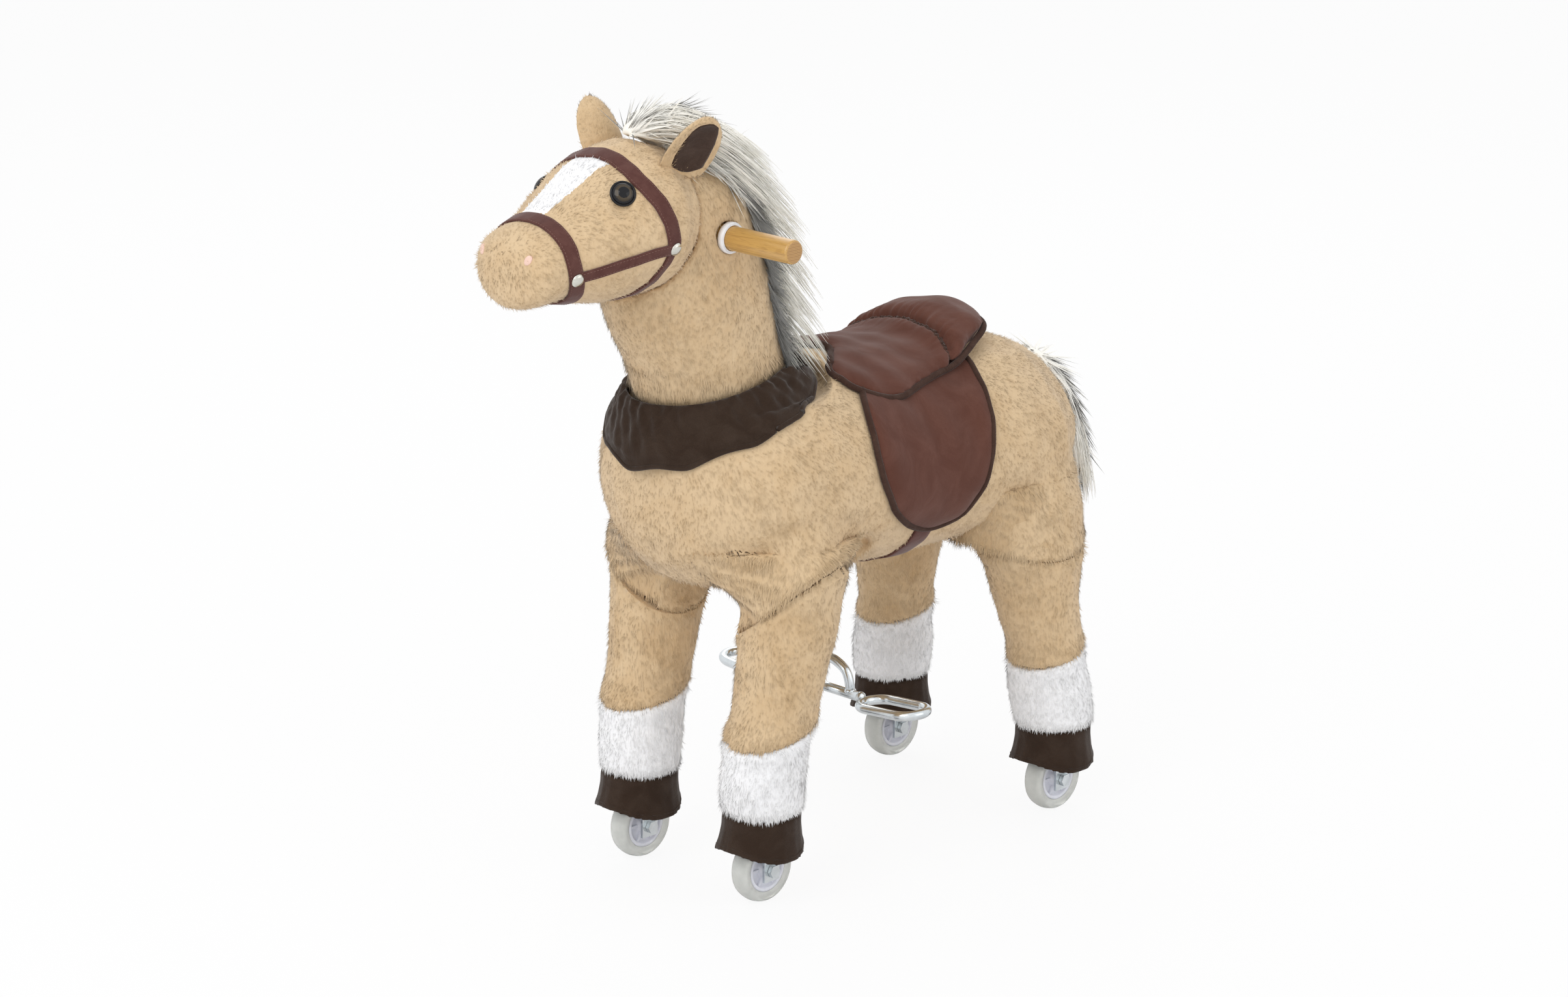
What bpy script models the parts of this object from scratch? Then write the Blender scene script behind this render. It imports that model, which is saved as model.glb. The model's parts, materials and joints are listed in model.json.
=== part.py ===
# Plush ride on horse: a steel frame on four wheels, inside a stuffed horse with a saddle.
# Metres, +Z up. The horse faces -Y and its left side is +X. The floor is z = 0.
import math

import bmesh
import bpy
import numpy as np
from mathutils import Matrix, Vector

# Clearances
seat_gap = 0.0003
swing_gap = 0.002
neck_gap = 0.0015
cutter_overrun = 0.02

# Wheels
wheel_radius = 0.038
tyre_width = 0.024
tyre_height = 0.012
hub_web = 0.010
hub_rim = 0.0043
hub_boss_radius = 0.0105
wheel_steps = 16
axle_radius = 0.004
bolt_head_radius = 0.0075
bolt_head_thickness = 0.0053
wheelbase = 0.442
front_track = 0.194
rear_track = 0.257

# Wheel forks
fork_inner_width = 0.027
fork_plate = 0.003
fork_depth = 0.023
fork_headroom = 0.0055
fork_tail = 0.012

# Leg frames and the pins that they swing on
hinge_height = 0.465
leg_splay = 0.021
tube_radius = 0.011
tube_wall = 0.002
pin_radius = 0.008
pin_head_radius = 0.0135
pin_head_thickness = 0.004
sleeve_radius = 0.014
sleeve_length = 0.072
hinge_block_width = 0.060
hinge_block_depth = 0.044
hinge_block_height = 0.054
block_overhang = 0.022
cross_tube_radius = 0.009
cross_tube_drop = 0.052

# Chassis frame and steering
beam_width = 0.025
beam_depth = 0.028
beam_tail = 0.020
head_tube_radius = 0.0185
head_tube_height = 0.078
column_radius = 0.0125
column_bend_rise = 0.130
handle_rise = 0.193
handle_forward = 0.045
handle_radius = 0.013
handle_span = 0.344
handle_sleeve_wall = 0.004
handle_sleeve_length = 0.100
grommet_radius = 0.020
grommet_thickness = 0.004

# Foot bar
foot_bar_height = 0.177
foot_bar_forward = 0.026
foot_rod_radius = 0.0055
post_radius = 0.011
brace_half_width = 0.042
brace_rise = 0.036
stirrup_length = 0.098
stirrup_width = 0.054
stirrup_centre = 0.109
stirrup_lift = 0.0035

# Torso
tail_overhang = 0.094
torso_width = 0.316
torso_depth = 0.260
torso_drop = 0.007
chest_overhang = 0.084
torso_padding = 0.030
neck_seat_rise = 0.087
neck_seat_radius = 0.128
# along from the chest, half width, half depth and rise of the middle, as shares of
# torso_length, torso_width, torso_depth and torso_depth
torso_ring_shares = (
    (0.000, 0.060, 0.080, 0.040),
    (0.008, 0.170, 0.200, 0.036),
    (0.030, 0.280, 0.330, 0.026),
    (0.075, 0.385, 0.430, 0.018),
    (0.150, 0.470, 0.487, 0.015),
    (0.250, 0.500, 0.500, 0.012),
    (0.360, 0.495, 0.488, -0.008),
    (0.490, 0.462, 0.472, -0.050),
    (0.620, 0.448, 0.462, -0.070),
    (0.750, 0.482, 0.470, -0.062),
    (0.850, 0.468, 0.440, -0.050),
    (0.930, 0.370, 0.352, -0.034),
    (0.975, 0.240, 0.235, -0.020),
    (0.994, 0.130, 0.130, -0.012),
    (1.000, 0.050, 0.050, -0.010),
)
rings_per_span = 1
torso_sides = 22
cavity_sides = 12

# Legs: the seams where they slide against the body are parts of a sphere and a cylinder
front_seam_radius = 0.180
rear_seam_radius = 0.155
leg_top_drop = 0.035
sock_bottom_height = 0.1063
leg_radius = 0.060
sock_edge_height = 0.192
sock_edge_rise = 0.026
sock_edge_span = 0.100
seam_gap = 0.004
pocket_margin = 0.039
slot_half_length = 0.058
slot_half_width = 0.024
# height between the sock's bottom and the leg's top, half width and half depth as shares
# of leg_radius, and how far along its lean
front_leg_shares = (
    (0.000, 0.680, 0.680, 0.00),
    (0.012, 0.755, 0.755, 0.00),
    (0.060, 0.815, 0.820, 0.02),
    (0.140, 0.835, 0.840, 0.08),
    (0.240, 0.820, 0.830, 0.20),
    (0.300, 0.825, 0.840, 0.30),
    (0.450, 0.875, 0.905, 0.56),
    (0.650, 0.935, 0.985, 0.84),
    (0.820, 0.950, 1.060, 1.00),
    (1.000, 0.780, 0.900, 0.96),
)
rear_leg_shares = (
    (0.000, 0.680, 0.680, 0.00),
    (0.012, 0.755, 0.755, 0.00),
    (0.060, 0.825, 0.830, 0.04),
    (0.140, 0.845, 0.850, 0.12),
    (0.240, 0.765, 0.770, 0.26),
    (0.310, 0.765, 0.780, 0.36),
    (0.450, 0.835, 0.900, 0.56),
    (0.620, 0.960, 1.120, 0.78),
    (0.800, 1.000, 1.260, 0.94),
    (1.000, 0.800, 1.080, 1.02),
)
front_leg_lean = (0.007, 0.046)
rear_leg_lean = (-0.032, -0.020)
leg_sides = 16

# Hooves
hoof_hem_radius = 0.048
hoof_height = 0.051
hoof_hem_arch = 0.013
hoof_wall = 0.0055
hoof_roof = 0.016
hoof_sides = 18

# Neck: height above its seat, half width, half depth, and how far forward its middle lies
neck_height = 0.280
neck_width = 0.168
neck_depth = 0.206
neck_lean = 0.052
neck_foot_forward = 0.006
neck_ring_shares = (
    (0.000, 0.420, 0.400, 0.00),
    (0.015, 0.445, 0.425, 0.00),
    (0.130, 0.468, 0.462, 0.08),
    (0.270, 0.490, 0.486, 0.36),
    (0.420, 0.500, 0.500, 0.64),
    (0.560, 0.495, 0.490, 0.78),
    (0.700, 0.465, 0.456, 0.86),
    (0.840, 0.415, 0.388, 0.90),
    (0.940, 0.300, 0.290, 0.90),
    (0.985, 0.160, 0.160, 0.90),
    (1.000, 0.060, 0.060, 0.90),
)
neck_sides = 22

# Head: distance back from the nose tip, half width, half depth, and rise of the middle
head_length = 0.238
head_width = 0.190
head_depth = 0.178
nose_overhang = 0.281
head_seat_rise = 0.176
head_rise = 0.050
head_ring_shares = (
    (0.000, 0.050, 0.050, 0.12),
    (0.007, 0.150, 0.138, 0.12),
    (0.034, 0.250, 0.212, 0.14),
    (0.092, 0.318, 0.252, 0.20),
    (0.160, 0.330, 0.260, 0.25),
    (0.206, 0.322, 0.262, 0.29),
    (0.257, 0.336, 0.284, 0.35),
    (0.354, 0.390, 0.340, 0.45),
    (0.490, 0.455, 0.418, 0.62),
    (0.640, 0.492, 0.454, 0.78),
    (0.780, 0.482, 0.460, 0.87),
    (0.900, 0.396, 0.394, 0.90),
    (0.965, 0.270, 0.276, 0.91),
    (0.992, 0.130, 0.138, 0.91),
    (1.000, 0.040, 0.050, 0.91),
)
head_sides = 22

# Ears, eyes and hair
ear_length = 0.084
ear_width = 0.050
ear_thickness = 0.014
ear_spread = 0.054
ear_back = 0.204
ear_seat_rise = 0.090
ear_splay = math.radians(35)
ear_ring_shares = (
    (0.00, 0.34),
    (0.12, 0.46),
    (0.32, 0.50),
    (0.56, 0.45),
    (0.78, 0.35),
    (0.93, 0.20),
    (1.00, 0.07),
)
eye_radius = 0.0125
eye_bulge = 0.007
eye_back = 0.112
eye_angle = math.radians(54)
mane_half_width = 0.030
mane_half_depth = 0.027
mane_foot_rise = 0.070
mane_sides = 10
# back from the steering axis and height above the neck's seat, as shares of
# neck_depth and neck_height, and the part of the full size there
mane_path_shares = (
    (-0.590, 1.030, 0.30),
    (-0.535, 1.066, 0.62),
    (-0.420, 1.090, 0.80),
    (-0.240, 1.060, 0.94),
    (-0.060, 0.950, 1.00),
    (0.090, 0.790, 1.00),
    (0.200, 0.600, 1.00),
    (0.270, 0.420, 0.92),
    (0.330, 0.280, 0.74),
    (0.350, 0.230, 0.50),
)
tail_width = 0.080
tail_depth = 0.046
tail_ring_shares = (
    (0.00, 0.22, 0.000, 0.000),
    (0.04, 0.36, 0.040, 0.040),
    (0.18, 0.46, 0.260, 0.150),
    (0.38, 0.50, 0.520, 0.340),
    (0.60, 0.48, 0.740, 0.580),
    (0.80, 0.38, 0.900, 0.800),
    (0.95, 0.20, 0.985, 0.960),
    (1.00, 0.08, 1.000, 1.000),
)
tail_reach = 0.080
tail_drop = 0.170
tail_root_rise = 0.047
tail_root_sink = 0.010
tail_sides = 10

# Collar
collar_thickness = 0.009
collar_clearance = 0.006
collar_scallop = 0.005
collar_scallops = 9
collar_top_rise = 0.025
collar_top_tilt = 0.016
collar_front_drop = 0.068
collar_side_drop = 0.044
collar_back_drop = 0.018
collar_front_flare = 0.014
collar_side_flare = 0.030
collar_back_flare = 0.028
collar_columns = 40

# Saddle
seat_front = 0.022
seat_length = 0.218
seat_thickness = 0.013
seat_edge = 0.006
seat_lift = 0.0018
seat_angle = math.radians(50)
cantle_height = 0.013
cantle_length = 0.060
skirt_thickness = 0.007
skirt_lift = 0.0018
skirt_front = 0.098
skirt_length = 0.183
skirt_angle = math.radians(116)
girth_centre = 0.010
girth_width = 0.030
girth_thickness = 0.003
# part of the way down from the spine, front edge and back edge as shares of the length
seat_edge_shares = (
    (0.00, -0.030, 1.000),
    (0.30, -0.110, 0.970),
    (0.50, -0.266, 0.870),
    (0.66, -0.310, 0.690),
    (0.78, -0.290, 0.500),
    (0.86, -0.250, 0.300),
    (0.93, -0.175, 0.160),
    (1.00, -0.080, 0.050),
)
skirt_edge_shares = (
    (0.00, 0.480, 1.300),
    (0.25, 0.290, 1.220),
    (0.44, 0.065, 1.165),
    (0.64, 0.000, 1.090),
    (0.80, 0.110, 1.015),
    (0.90, 0.270, 0.950),
    (0.96, 0.440, 0.870),
    (1.00, 0.580, 0.740),
)

# Bridle
strap_thickness = 0.0024
strap_sink = 0.0010
crown_strap_width = 0.017
noseband_width = 0.017
cheek_strap_width = 0.012
noseband_back = 0.048
crown_back = 0.158
stud_radius = 0.0075
stud_thickness = 0.004
nose_stud_lift = 0.0042
cheek_stud_lift = 0.0032
# how far the front stud turns from the noseband towards the cheek strap
nose_stud_turn_share = 0.45

# Places that follow from the sizes above
front_axle_y = -wheelbase / 2
rear_axle_y = wheelbase / 2
column_y = front_axle_y + leg_splay
rear_hinge_y = rear_axle_y - leg_splay
torso_front = wheelbase / 2 + chest_overhang
torso_back = wheelbase / 2 + tail_overhang
torso_length = torso_front + torso_back
torso_height = hinge_height - torso_drop
leg_top_height = hinge_height - leg_top_drop
neck_seat_height = hinge_height + neck_seat_rise
handle_height = neck_seat_height + handle_rise
head_nose_forward = wheelbase / 2 + nose_overhang
head_height = neck_seat_height + head_seat_rise
ear_seat_height = head_height + ear_seat_rise
mane_foot_height = neck_seat_height + mane_foot_rise
collar_top_height = neck_seat_height + collar_top_rise
tail_root_height = torso_height + tail_root_rise


def clear_scene():
    for item in list(bpy.data.objects):
        bpy.data.objects.remove(item, do_unlink=True)
    for group in list(bpy.data.collections):
        bpy.data.collections.remove(group)


clear_scene()
parts = bpy.data.collections.new("plush_ride_on_horse")
cutters = bpy.data.collections.new("cutters")
bpy.context.scene.collection.children.link(parts)
bpy.context.scene.collection.children.link(cutters)


def make_pivot(name, place, parent=None):
    pivot = bpy.data.objects.new(name, None)
    parts.objects.link(pivot)
    pivot.empty_display_size = wheel_radius
    pivot.location = place
    if parent is not None:
        pivot.parent = parent
        pivot.location = Vector(place) - Vector(world_place[parent.name])
    world_place[name] = place
    return pivot


world_place = {}
origin = (0, 0, 0)
whole = make_pivot("whole", origin)
steer_place = (0, column_y, hinge_height)
rear_place = (0, rear_hinge_y, hinge_height)
steer_pivot = make_pivot("steer_pivot", steer_place, whole)
front_swing_pivot = make_pivot("front_swing_pivot", steer_place, steer_pivot)
rear_swing_pivot = make_pivot("rear_swing_pivot", rear_place, whole)


def finish(name, colour, roughness, metallic=0.0):
    material = bpy.data.materials.new(name)
    material.use_nodes = True
    shader = material.node_tree.nodes["Principled BSDF"]
    shader.inputs["Base Color"].default_value = (*colour, 1.0)
    shader.inputs["Roughness"].default_value = roughness
    shader.inputs["Metallic"].default_value = metallic
    return material


finishes = {
    "tan_plush": finish("tan_plush", (0.67, 0.47, 0.26), 0.95),
    "white_plush": finish("white_plush", (0.86, 0.86, 0.88), 0.95),
    "cream_hair": finish("cream_hair", (0.80, 0.75, 0.64), 0.85),
    "dark_suede": finish("dark_suede", (0.042, 0.027, 0.019), 0.95),
    "saddle_velour": finish("saddle_velour", (0.14, 0.058, 0.043), 0.85),
    "bridle_webbing": finish("bridle_webbing", (0.15, 0.06, 0.045), 0.80),
    "handle_wood": finish("handle_wood", (0.67, 0.39, 0.10), 0.45),
    "zinc_steel": finish("zinc_steel", (0.55, 0.58, 0.60), 0.28, 1.0),
    "painted_steel": finish("painted_steel", (0.55, 0.60, 0.66), 0.40, 0.6),
    "tyre_urethane": finish("tyre_urethane", (0.68, 0.68, 0.63), 0.35),
    "hub_plastic": finish("hub_plastic", (0.76, 0.77, 0.86), 0.30),
    "white_plastic": finish("white_plastic", (0.85, 0.85, 0.85), 0.40),
    "eye_gloss": finish("eye_gloss", (0.02, 0.014, 0.010), 0.05),
}


def place_object(name, mesh, material, pivot, collection=parts):
    thing = bpy.data.objects.new(name, mesh)
    collection.objects.link(thing)
    if material is not None:
        mesh.materials.append(finishes[material])
    thing.parent = pivot
    thing.location = -Vector(world_place[pivot.name])
    return thing


def close_mesh(name, mesh_data):
    bmesh.ops.recalc_face_normals(mesh_data, faces=mesh_data.faces)
    mesh = bpy.data.meshes.new(name)
    mesh_data.to_mesh(mesh)
    mesh_data.free()
    mesh.shade_smooth()
    mesh.set_sharp_from_angle(angle=math.radians(40))
    return mesh


def centre_of(points):
    total = Vector((0, 0, 0))
    for point in points:
        total += Vector(point)
    return total / len(points)


def add_loft(mesh_data, rings, closed=False):
    rows = [[mesh_data.verts.new(point) for point in ring] for ring in rings]
    sides = len(rings[0])
    pairs = list(zip(rows, rows[1:]))
    if closed:
        pairs.append((rows[-1], rows[0]))
    for first, second in pairs:
        for side in range(sides):
            after = (side + 1) % sides
            mesh_data.faces.new((first[side], first[after], second[after], second[side]))
    if closed:
        return
    for row, ring in ((rows[0], rings[0]), (rows[-1], rings[-1])):
        middle = mesh_data.verts.new(centre_of(ring))
        for side in range(sides):
            mesh_data.faces.new((row[side], row[(side + 1) % sides], middle))


def loft_mesh(name, rings, closed=False):
    mesh_data = bmesh.new()
    add_loft(mesh_data, rings, closed)
    return close_mesh(name, mesh_data)


def loft(name, rings, material, pivot, closed=False):
    return place_object(name, loft_mesh(name, rings, closed), material, pivot)


def add_cutter(name, mesh, pivot=whole):
    cutter = place_object(name, mesh, None, pivot, cutters)
    cutter.hide_render = True
    cutter.display_type = "WIRE"
    return cutter


def boolean(target, tool, operation="DIFFERENCE"):
    modifier = target.modifiers.new(f"{operation.lower()}_{tool.name}", "BOOLEAN")
    modifier.operation = operation
    modifier.solver = "EXACT"
    modifier.object = tool
    return target


def ellipse(centre, half_x, half_y, sides, along="z"):
    ring = []
    phase = 0.5 if along == "z" else 0
    for side in range(sides):
        angle = 2 * math.pi * (side + phase) / sides
        across = half_x * math.sin(angle)
        other = half_y * math.cos(angle)
        if along == "z":
            ring.append(Vector(centre) + Vector((across, other, 0)))
        elif along == "y":
            ring.append(Vector(centre) + Vector((across, 0, other)))
        else:
            ring.append(Vector(centre) + Vector((0, across, other)))
    return ring


def rod_rings(start, end, radius, sides):
    start = Vector(start)
    end = Vector(end)
    turn = (end - start).to_track_quat("Z", "Y")
    rings = []
    for place in (start, end):
        ring = ellipse(origin, radius, radius, sides)
        rings.append([place + turn @ point for point in ring])
    return rings


def rod_mesh(name, start, end, radius, sides=10):
    return loft_mesh(name, rod_rings(start, end, radius, sides))


def rod(name, start, end, radius, material, pivot, sides=10):
    return place_object(name, rod_mesh(name, start, end, radius, sides), material, pivot)


def rod_cutter(name, start, end, radius, pivot=whole, sides=10):
    return add_cutter(name, rod_mesh(name, start, end, radius, sides), pivot)


def bore_cutter(name, start, end, radius, pivot=whole, sides=10):
    # its flats, not its corners, lie at the radius, so a round pin clears it at any turn
    return rod_cutter(name, start, end, radius / math.cos(math.pi / sides), pivot, sides)


def box_mesh(name, low, high, bevel=0.0):
    mesh_data = bmesh.new()
    bmesh.ops.create_cube(mesh_data, size=1)
    low = Vector(low)
    high = Vector(high)
    bmesh.ops.scale(mesh_data, vec=high - low, verts=mesh_data.verts)
    bmesh.ops.translate(mesh_data, vec=(low + high) / 2, verts=mesh_data.verts)
    if bevel > 0:
        bmesh.ops.bevel(mesh_data, geom=mesh_data.edges, offset=bevel, segments=1, affect="EDGES")
    return close_mesh(name, mesh_data)


def box(name, low, high, material, pivot, bevel=0.0):
    return place_object(name, box_mesh(name, low, high, bevel), material, pivot)


def smooth_rows(rows, per_span):
    # a smooth curve through the rows, with per_span steps between two of them
    table = [np.array(row, dtype=float) for row in rows]
    dense = []
    for index in range(len(table) - 1):
        before = table[max(index - 1, 0)]
        start = table[index]
        end = table[index + 1]
        after = table[min(index + 2, len(table) - 1)]
        for step in range(per_span):
            t = step / per_span
            dense.append(0.5 * (
                2 * start
                + (end - before) * t
                + (2 * before - 5 * start + 4 * end - after) * t ** 2
                + (3 * start - before - 3 * end + after) * t ** 3
            ))
    dense.append(table[-1])
    return dense


def look_up(rows, key):
    keys = [row[0] for row in rows]
    return [float(np.interp(key, keys, [row[column] for row in rows])) for column in range(1, len(rows[0]))]


# Surfaces of the torso and the head, which soft pieces lie on
def torso_rows():
    rows = []
    for along, half_width, half_depth, rise in smooth_rows(torso_ring_shares, rings_per_span):
        rows.append((
            along * torso_length - torso_front,
            half_width * torso_width,
            half_depth * torso_depth,
            torso_height + rise * torso_depth,
        ))
    return rows


def head_rows():
    rows = []
    for back, half_width, half_depth, rise in smooth_rows(head_ring_shares, rings_per_span):
        rows.append((
            back * head_length - head_nose_forward,
            half_width * head_width,
            half_depth * head_depth,
            head_height + rise * head_rise,
        ))
    return rows


torso_table = torso_rows()
head_table = head_rows()


def skin_point(table, y, angle, proud):
    half_width, half_depth, middle = look_up(table, y)
    return Vector((
        (half_width + proud) * math.sin(angle),
        y,
        middle + (half_depth + proud) * math.cos(angle),
    ))


def skin_normal(table, y, angle):
    step = tyre_width / 16
    ahead = skin_point(table, y + step, angle, 0)
    behind = skin_point(table, y - step, angle, 0)
    left = skin_point(table, y, angle + 0.02, 0)
    right = skin_point(table, y, angle - 0.02, 0)
    return (ahead - behind).cross(left - right).normalized() * -1


def skin_rings(table, proud, sides):
    rings = []
    for y, half_width, half_depth, middle in table:
        grown_width = max(half_width + proud, seat_gap)
        grown_depth = max(half_depth + proud, seat_gap)
        rings.append(ellipse((0, y, middle), grown_width, grown_depth, sides, "y"))
    return rings


def outside_torso(point, gap):
    # moves a point straight out from the torso's middle line until it clears the skin
    half_width, half_depth, middle = look_up(torso_table, point.y)
    if point.y < torso_table[0][0] or point.y > torso_table[-1][0]:
        return point
    across = point.x / (half_width + gap)
    up = (point.z - middle) / (half_depth + gap)
    reach = math.hypot(across, up)
    if reach >= 1 or reach == 0:
        return point
    return Vector((point.x / reach, point.y, middle + (point.z - middle) / reach))


# Wheels, with their forks and axle bolts
def turned(name, profile, steps, material, pivot):
    mesh = bpy.data.meshes.new(name)
    count = len(profile)
    points = [(radius, 0, height) for radius, height in profile]
    mesh.from_pydata(points, [(i, (i + 1) % count) for i in range(count)], [])
    mesh.materials.append(finishes[material])
    thing = bpy.data.objects.new(name, mesh)
    parts.objects.link(thing)
    thing.parent = pivot
    thing.rotation_euler = (0, math.radians(90), 0)
    screw = thing.modifiers.new("turn", "SCREW")
    screw.angle = math.radians(360)
    screw.steps = steps
    screw.render_steps = steps
    screw.use_merge_vertices = True
    screw.merge_threshold = 0.0001
    screw.use_smooth_shade = True
    return thing


def make_wheel(corner, place, pivot):
    wheel_pivot = make_pivot(f"{corner}_wheel_pivot", place, pivot)
    half = tyre_width / 2
    seat = wheel_radius - tyre_height
    tyre_profile = (
        (seat, 0.80 * half),
        (seat + 0.60 * tyre_height, half),
        (seat + 0.88 * tyre_height, 0.68 * half),
        (wheel_radius, 0.22 * half),
        (wheel_radius, -0.22 * half),
        (seat + 0.88 * tyre_height, -0.68 * half),
        (seat + 0.60 * tyre_height, -half),
        (seat, -0.80 * half),
    )
    turned(f"{corner}_tyre", tyre_profile, wheel_steps, "tyre_urethane", wheel_pivot)
    rim = seat - seat_gap
    boss = fork_inner_width / 2 - seat_gap
    bore = axle_radius + seat_gap
    hub_profile = (
        (rim, 0.80 * half),
        (rim, -0.80 * half),
        (rim - hub_rim, -0.80 * half),
        (hub_boss_radius, -hub_web / 2),
        (hub_boss_radius, -boss),
        (bore, -boss),
        (bore, boss),
        (hub_boss_radius, boss),
        (hub_boss_radius, hub_web / 2),
        (rim - hub_rim, 0.80 * half),
    )
    turned(f"{corner}_wheel_hub", hub_profile, wheel_steps, "hub_plastic", wheel_pivot)


fork_top_height = 2 * wheel_radius + fork_headroom + fork_plate


def add_fork(tube, corner, place):
    # a bent plate welded under the leg tube, open below for the wheel
    x, y, z = place
    inner = fork_inner_width / 2
    outer = inner + fork_plate
    low = (x - outer, y - fork_depth / 2, z - fork_tail)
    high = (x + outer, y + fork_depth / 2, fork_top_height)
    boolean(tube, add_cutter(f"{corner}_fork", box_mesh("fork", low, high)), "UNION")
    inside_low = (x - inner, y - fork_depth, z - fork_tail - cutter_overrun)
    inside_high = (x + inner, y + fork_depth, fork_top_height - fork_plate)
    boolean(tube, add_cutter(f"{corner}_fork_inside", box_mesh("fork_inside", inside_low, inside_high)))
    reach = Vector((outer + cutter_overrun, 0, 0))
    near = Vector(place) - reach
    far = Vector(place) + reach
    boolean(tube, bore_cutter(f"{corner}_axle_hole", near, far, axle_radius + seat_gap))


def make_bolt(name, place, pivot):
    # a hexagon head outside the fork, the plain shank and a hexagon nut
    middle = Vector(place)
    plate = fork_inner_width / 2 + fork_plate + seat_gap
    sides = 12
    rings = []
    for offset, radius, hexagon in (
        (-plate - bolt_head_thickness, bolt_head_radius, True),
        (-plate, bolt_head_radius, True),
        (-plate, axle_radius, False),
        (plate, axle_radius, False),
        (plate, bolt_head_radius, True),
        (plate + bolt_head_thickness, bolt_head_radius, True),
    ):
        ring = []
        for side in range(sides):
            angle = 2 * math.pi * side / sides
            flat = math.cos(math.radians(30)) if hexagon and side % 2 else 1
            reach = radius * flat
            ring.append(middle + Vector((offset, reach * math.cos(angle), reach * math.sin(angle))))
        rings.append(ring)
    loft(name, rings, "zinc_steel", pivot)


# Leg frames: a tube from each fork up to a sleeve on the cross pin
sleeve_start = hinge_block_width / 2 + seat_gap
tube_top_x = sleeve_start + sleeve_length * 0.76
block_top = hinge_height + hinge_block_height - block_overhang


def tube_line(side, axle_y, track, hinge_y):
    foot = Vector((side * track / 2, axle_y, fork_top_height - fork_plate / 2))
    top = Vector((side * tube_top_x, hinge_y, hinge_height))
    return foot, top


def tube_place(line, height):
    foot, top = line
    return foot.lerp(top, (height - foot.z) / (top.z - foot.z))


def make_leg_tube(corner, side, line, axle_place, pivot):
    foot, top = line
    tube = rod(f"{corner}_leg_tube", foot, top, tube_radius, "zinc_steel", pivot)
    sleeve_low = Vector((side * sleeve_start, top.y, top.z))
    sleeve_high = Vector((side * (sleeve_start + sleeve_length), top.y, top.z))
    sleeve = rod_cutter(f"{corner}_sleeve", sleeve_low, sleeve_high, sleeve_radius)
    boolean(tube, sleeve, "UNION")
    add_fork(tube, corner, axle_place)
    bore_foot = foot - (top - foot).normalized() * cutter_overrun
    bore_top = tube_place(line, hinge_height - sleeve_radius - tube_wall)
    boolean(tube, rod_cutter(f"{corner}_tube_bore", bore_foot, bore_top, tube_radius - tube_wall))
    overrun = Vector((side * cutter_overrun, 0, 0))
    near = sleeve_low - overrun
    far = sleeve_high + overrun
    boolean(tube, bore_cutter(f"{corner}_pin_bore", near, far, pin_radius + seat_gap))


def make_cross_tube(name, line, pivot):
    # each end is square and stops short of the tube, which leans
    foot, top = line
    end = tube_place(line, hinge_height - cross_tube_drop)
    tilt = math.atan2(abs(foot.x - top.x), top.z - foot.z)
    reach = abs(end.x) - tube_radius / math.cos(tilt) - cross_tube_radius * math.tan(tilt) - seat_gap
    rod(name, (-reach, end.y, end.z), (reach, end.y, end.z), cross_tube_radius, "zinc_steel", pivot)


def hinge_block_mesh(name, y):
    low = (-hinge_block_width / 2, y - hinge_block_depth / 2, hinge_height - block_overhang)
    high = (hinge_block_width / 2, y + hinge_block_depth / 2, block_top)
    return box_mesh(name, low, high, pin_head_thickness / 2)


def hinge_bore(name, y):
    reach = hinge_block_width
    return bore_cutter(name, (-reach, y, hinge_height), (reach, y, hinge_height), pin_radius + seat_gap)


def make_hinge_pin(name, y, pivot):
    head_start = sleeve_start + sleeve_length + seat_gap
    head_end = head_start + pin_head_thickness
    rings = []
    for x, radius in (
        (-head_end, pin_head_radius),
        (-head_start, pin_head_radius),
        (-head_start, pin_radius),
        (head_start, pin_radius),
        (head_start, pin_head_radius),
        (head_end, pin_head_radius),
    ):
        rings.append(ellipse((x, y, hinge_height), radius, radius, 12, "x"))
    loft(name, rings, "zinc_steel", pivot)


front_lines = {}
rear_lines = {}
for side, hand in ((1, "left"), (-1, "right")):
    front_place = (side * front_track / 2, front_axle_y, wheel_radius)
    rear_wheel_place = (side * rear_track / 2, rear_axle_y, wheel_radius)
    make_wheel(f"front_{hand}", front_place, front_swing_pivot)
    make_wheel(f"rear_{hand}", rear_wheel_place, rear_swing_pivot)
    make_bolt(f"front_{hand}_axle_bolt", front_place, front_swing_pivot)
    make_bolt(f"rear_{hand}_axle_bolt", rear_wheel_place, rear_swing_pivot)
    front_lines[side] = tube_line(side, front_axle_y, front_track, column_y)
    rear_lines[side] = tube_line(side, rear_axle_y, rear_track, rear_hinge_y)
    make_leg_tube(f"front_{hand}", side, front_lines[side], front_place, front_swing_pivot)
    make_leg_tube(f"rear_{hand}", side, rear_lines[side], rear_wheel_place, rear_swing_pivot)

make_cross_tube("front_cross_tube", front_lines[1], front_swing_pivot)
make_cross_tube("rear_cross_tube", rear_lines[1], rear_swing_pivot)
crown = place_object("fork_crown", hinge_block_mesh("fork_crown", column_y), "painted_steel", steer_pivot)
boolean(crown, hinge_bore("crown_bore", column_y))
make_hinge_pin("front_hinge_pin", column_y, steer_pivot)
make_hinge_pin("rear_hinge_pin", rear_hinge_y, whole)


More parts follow.
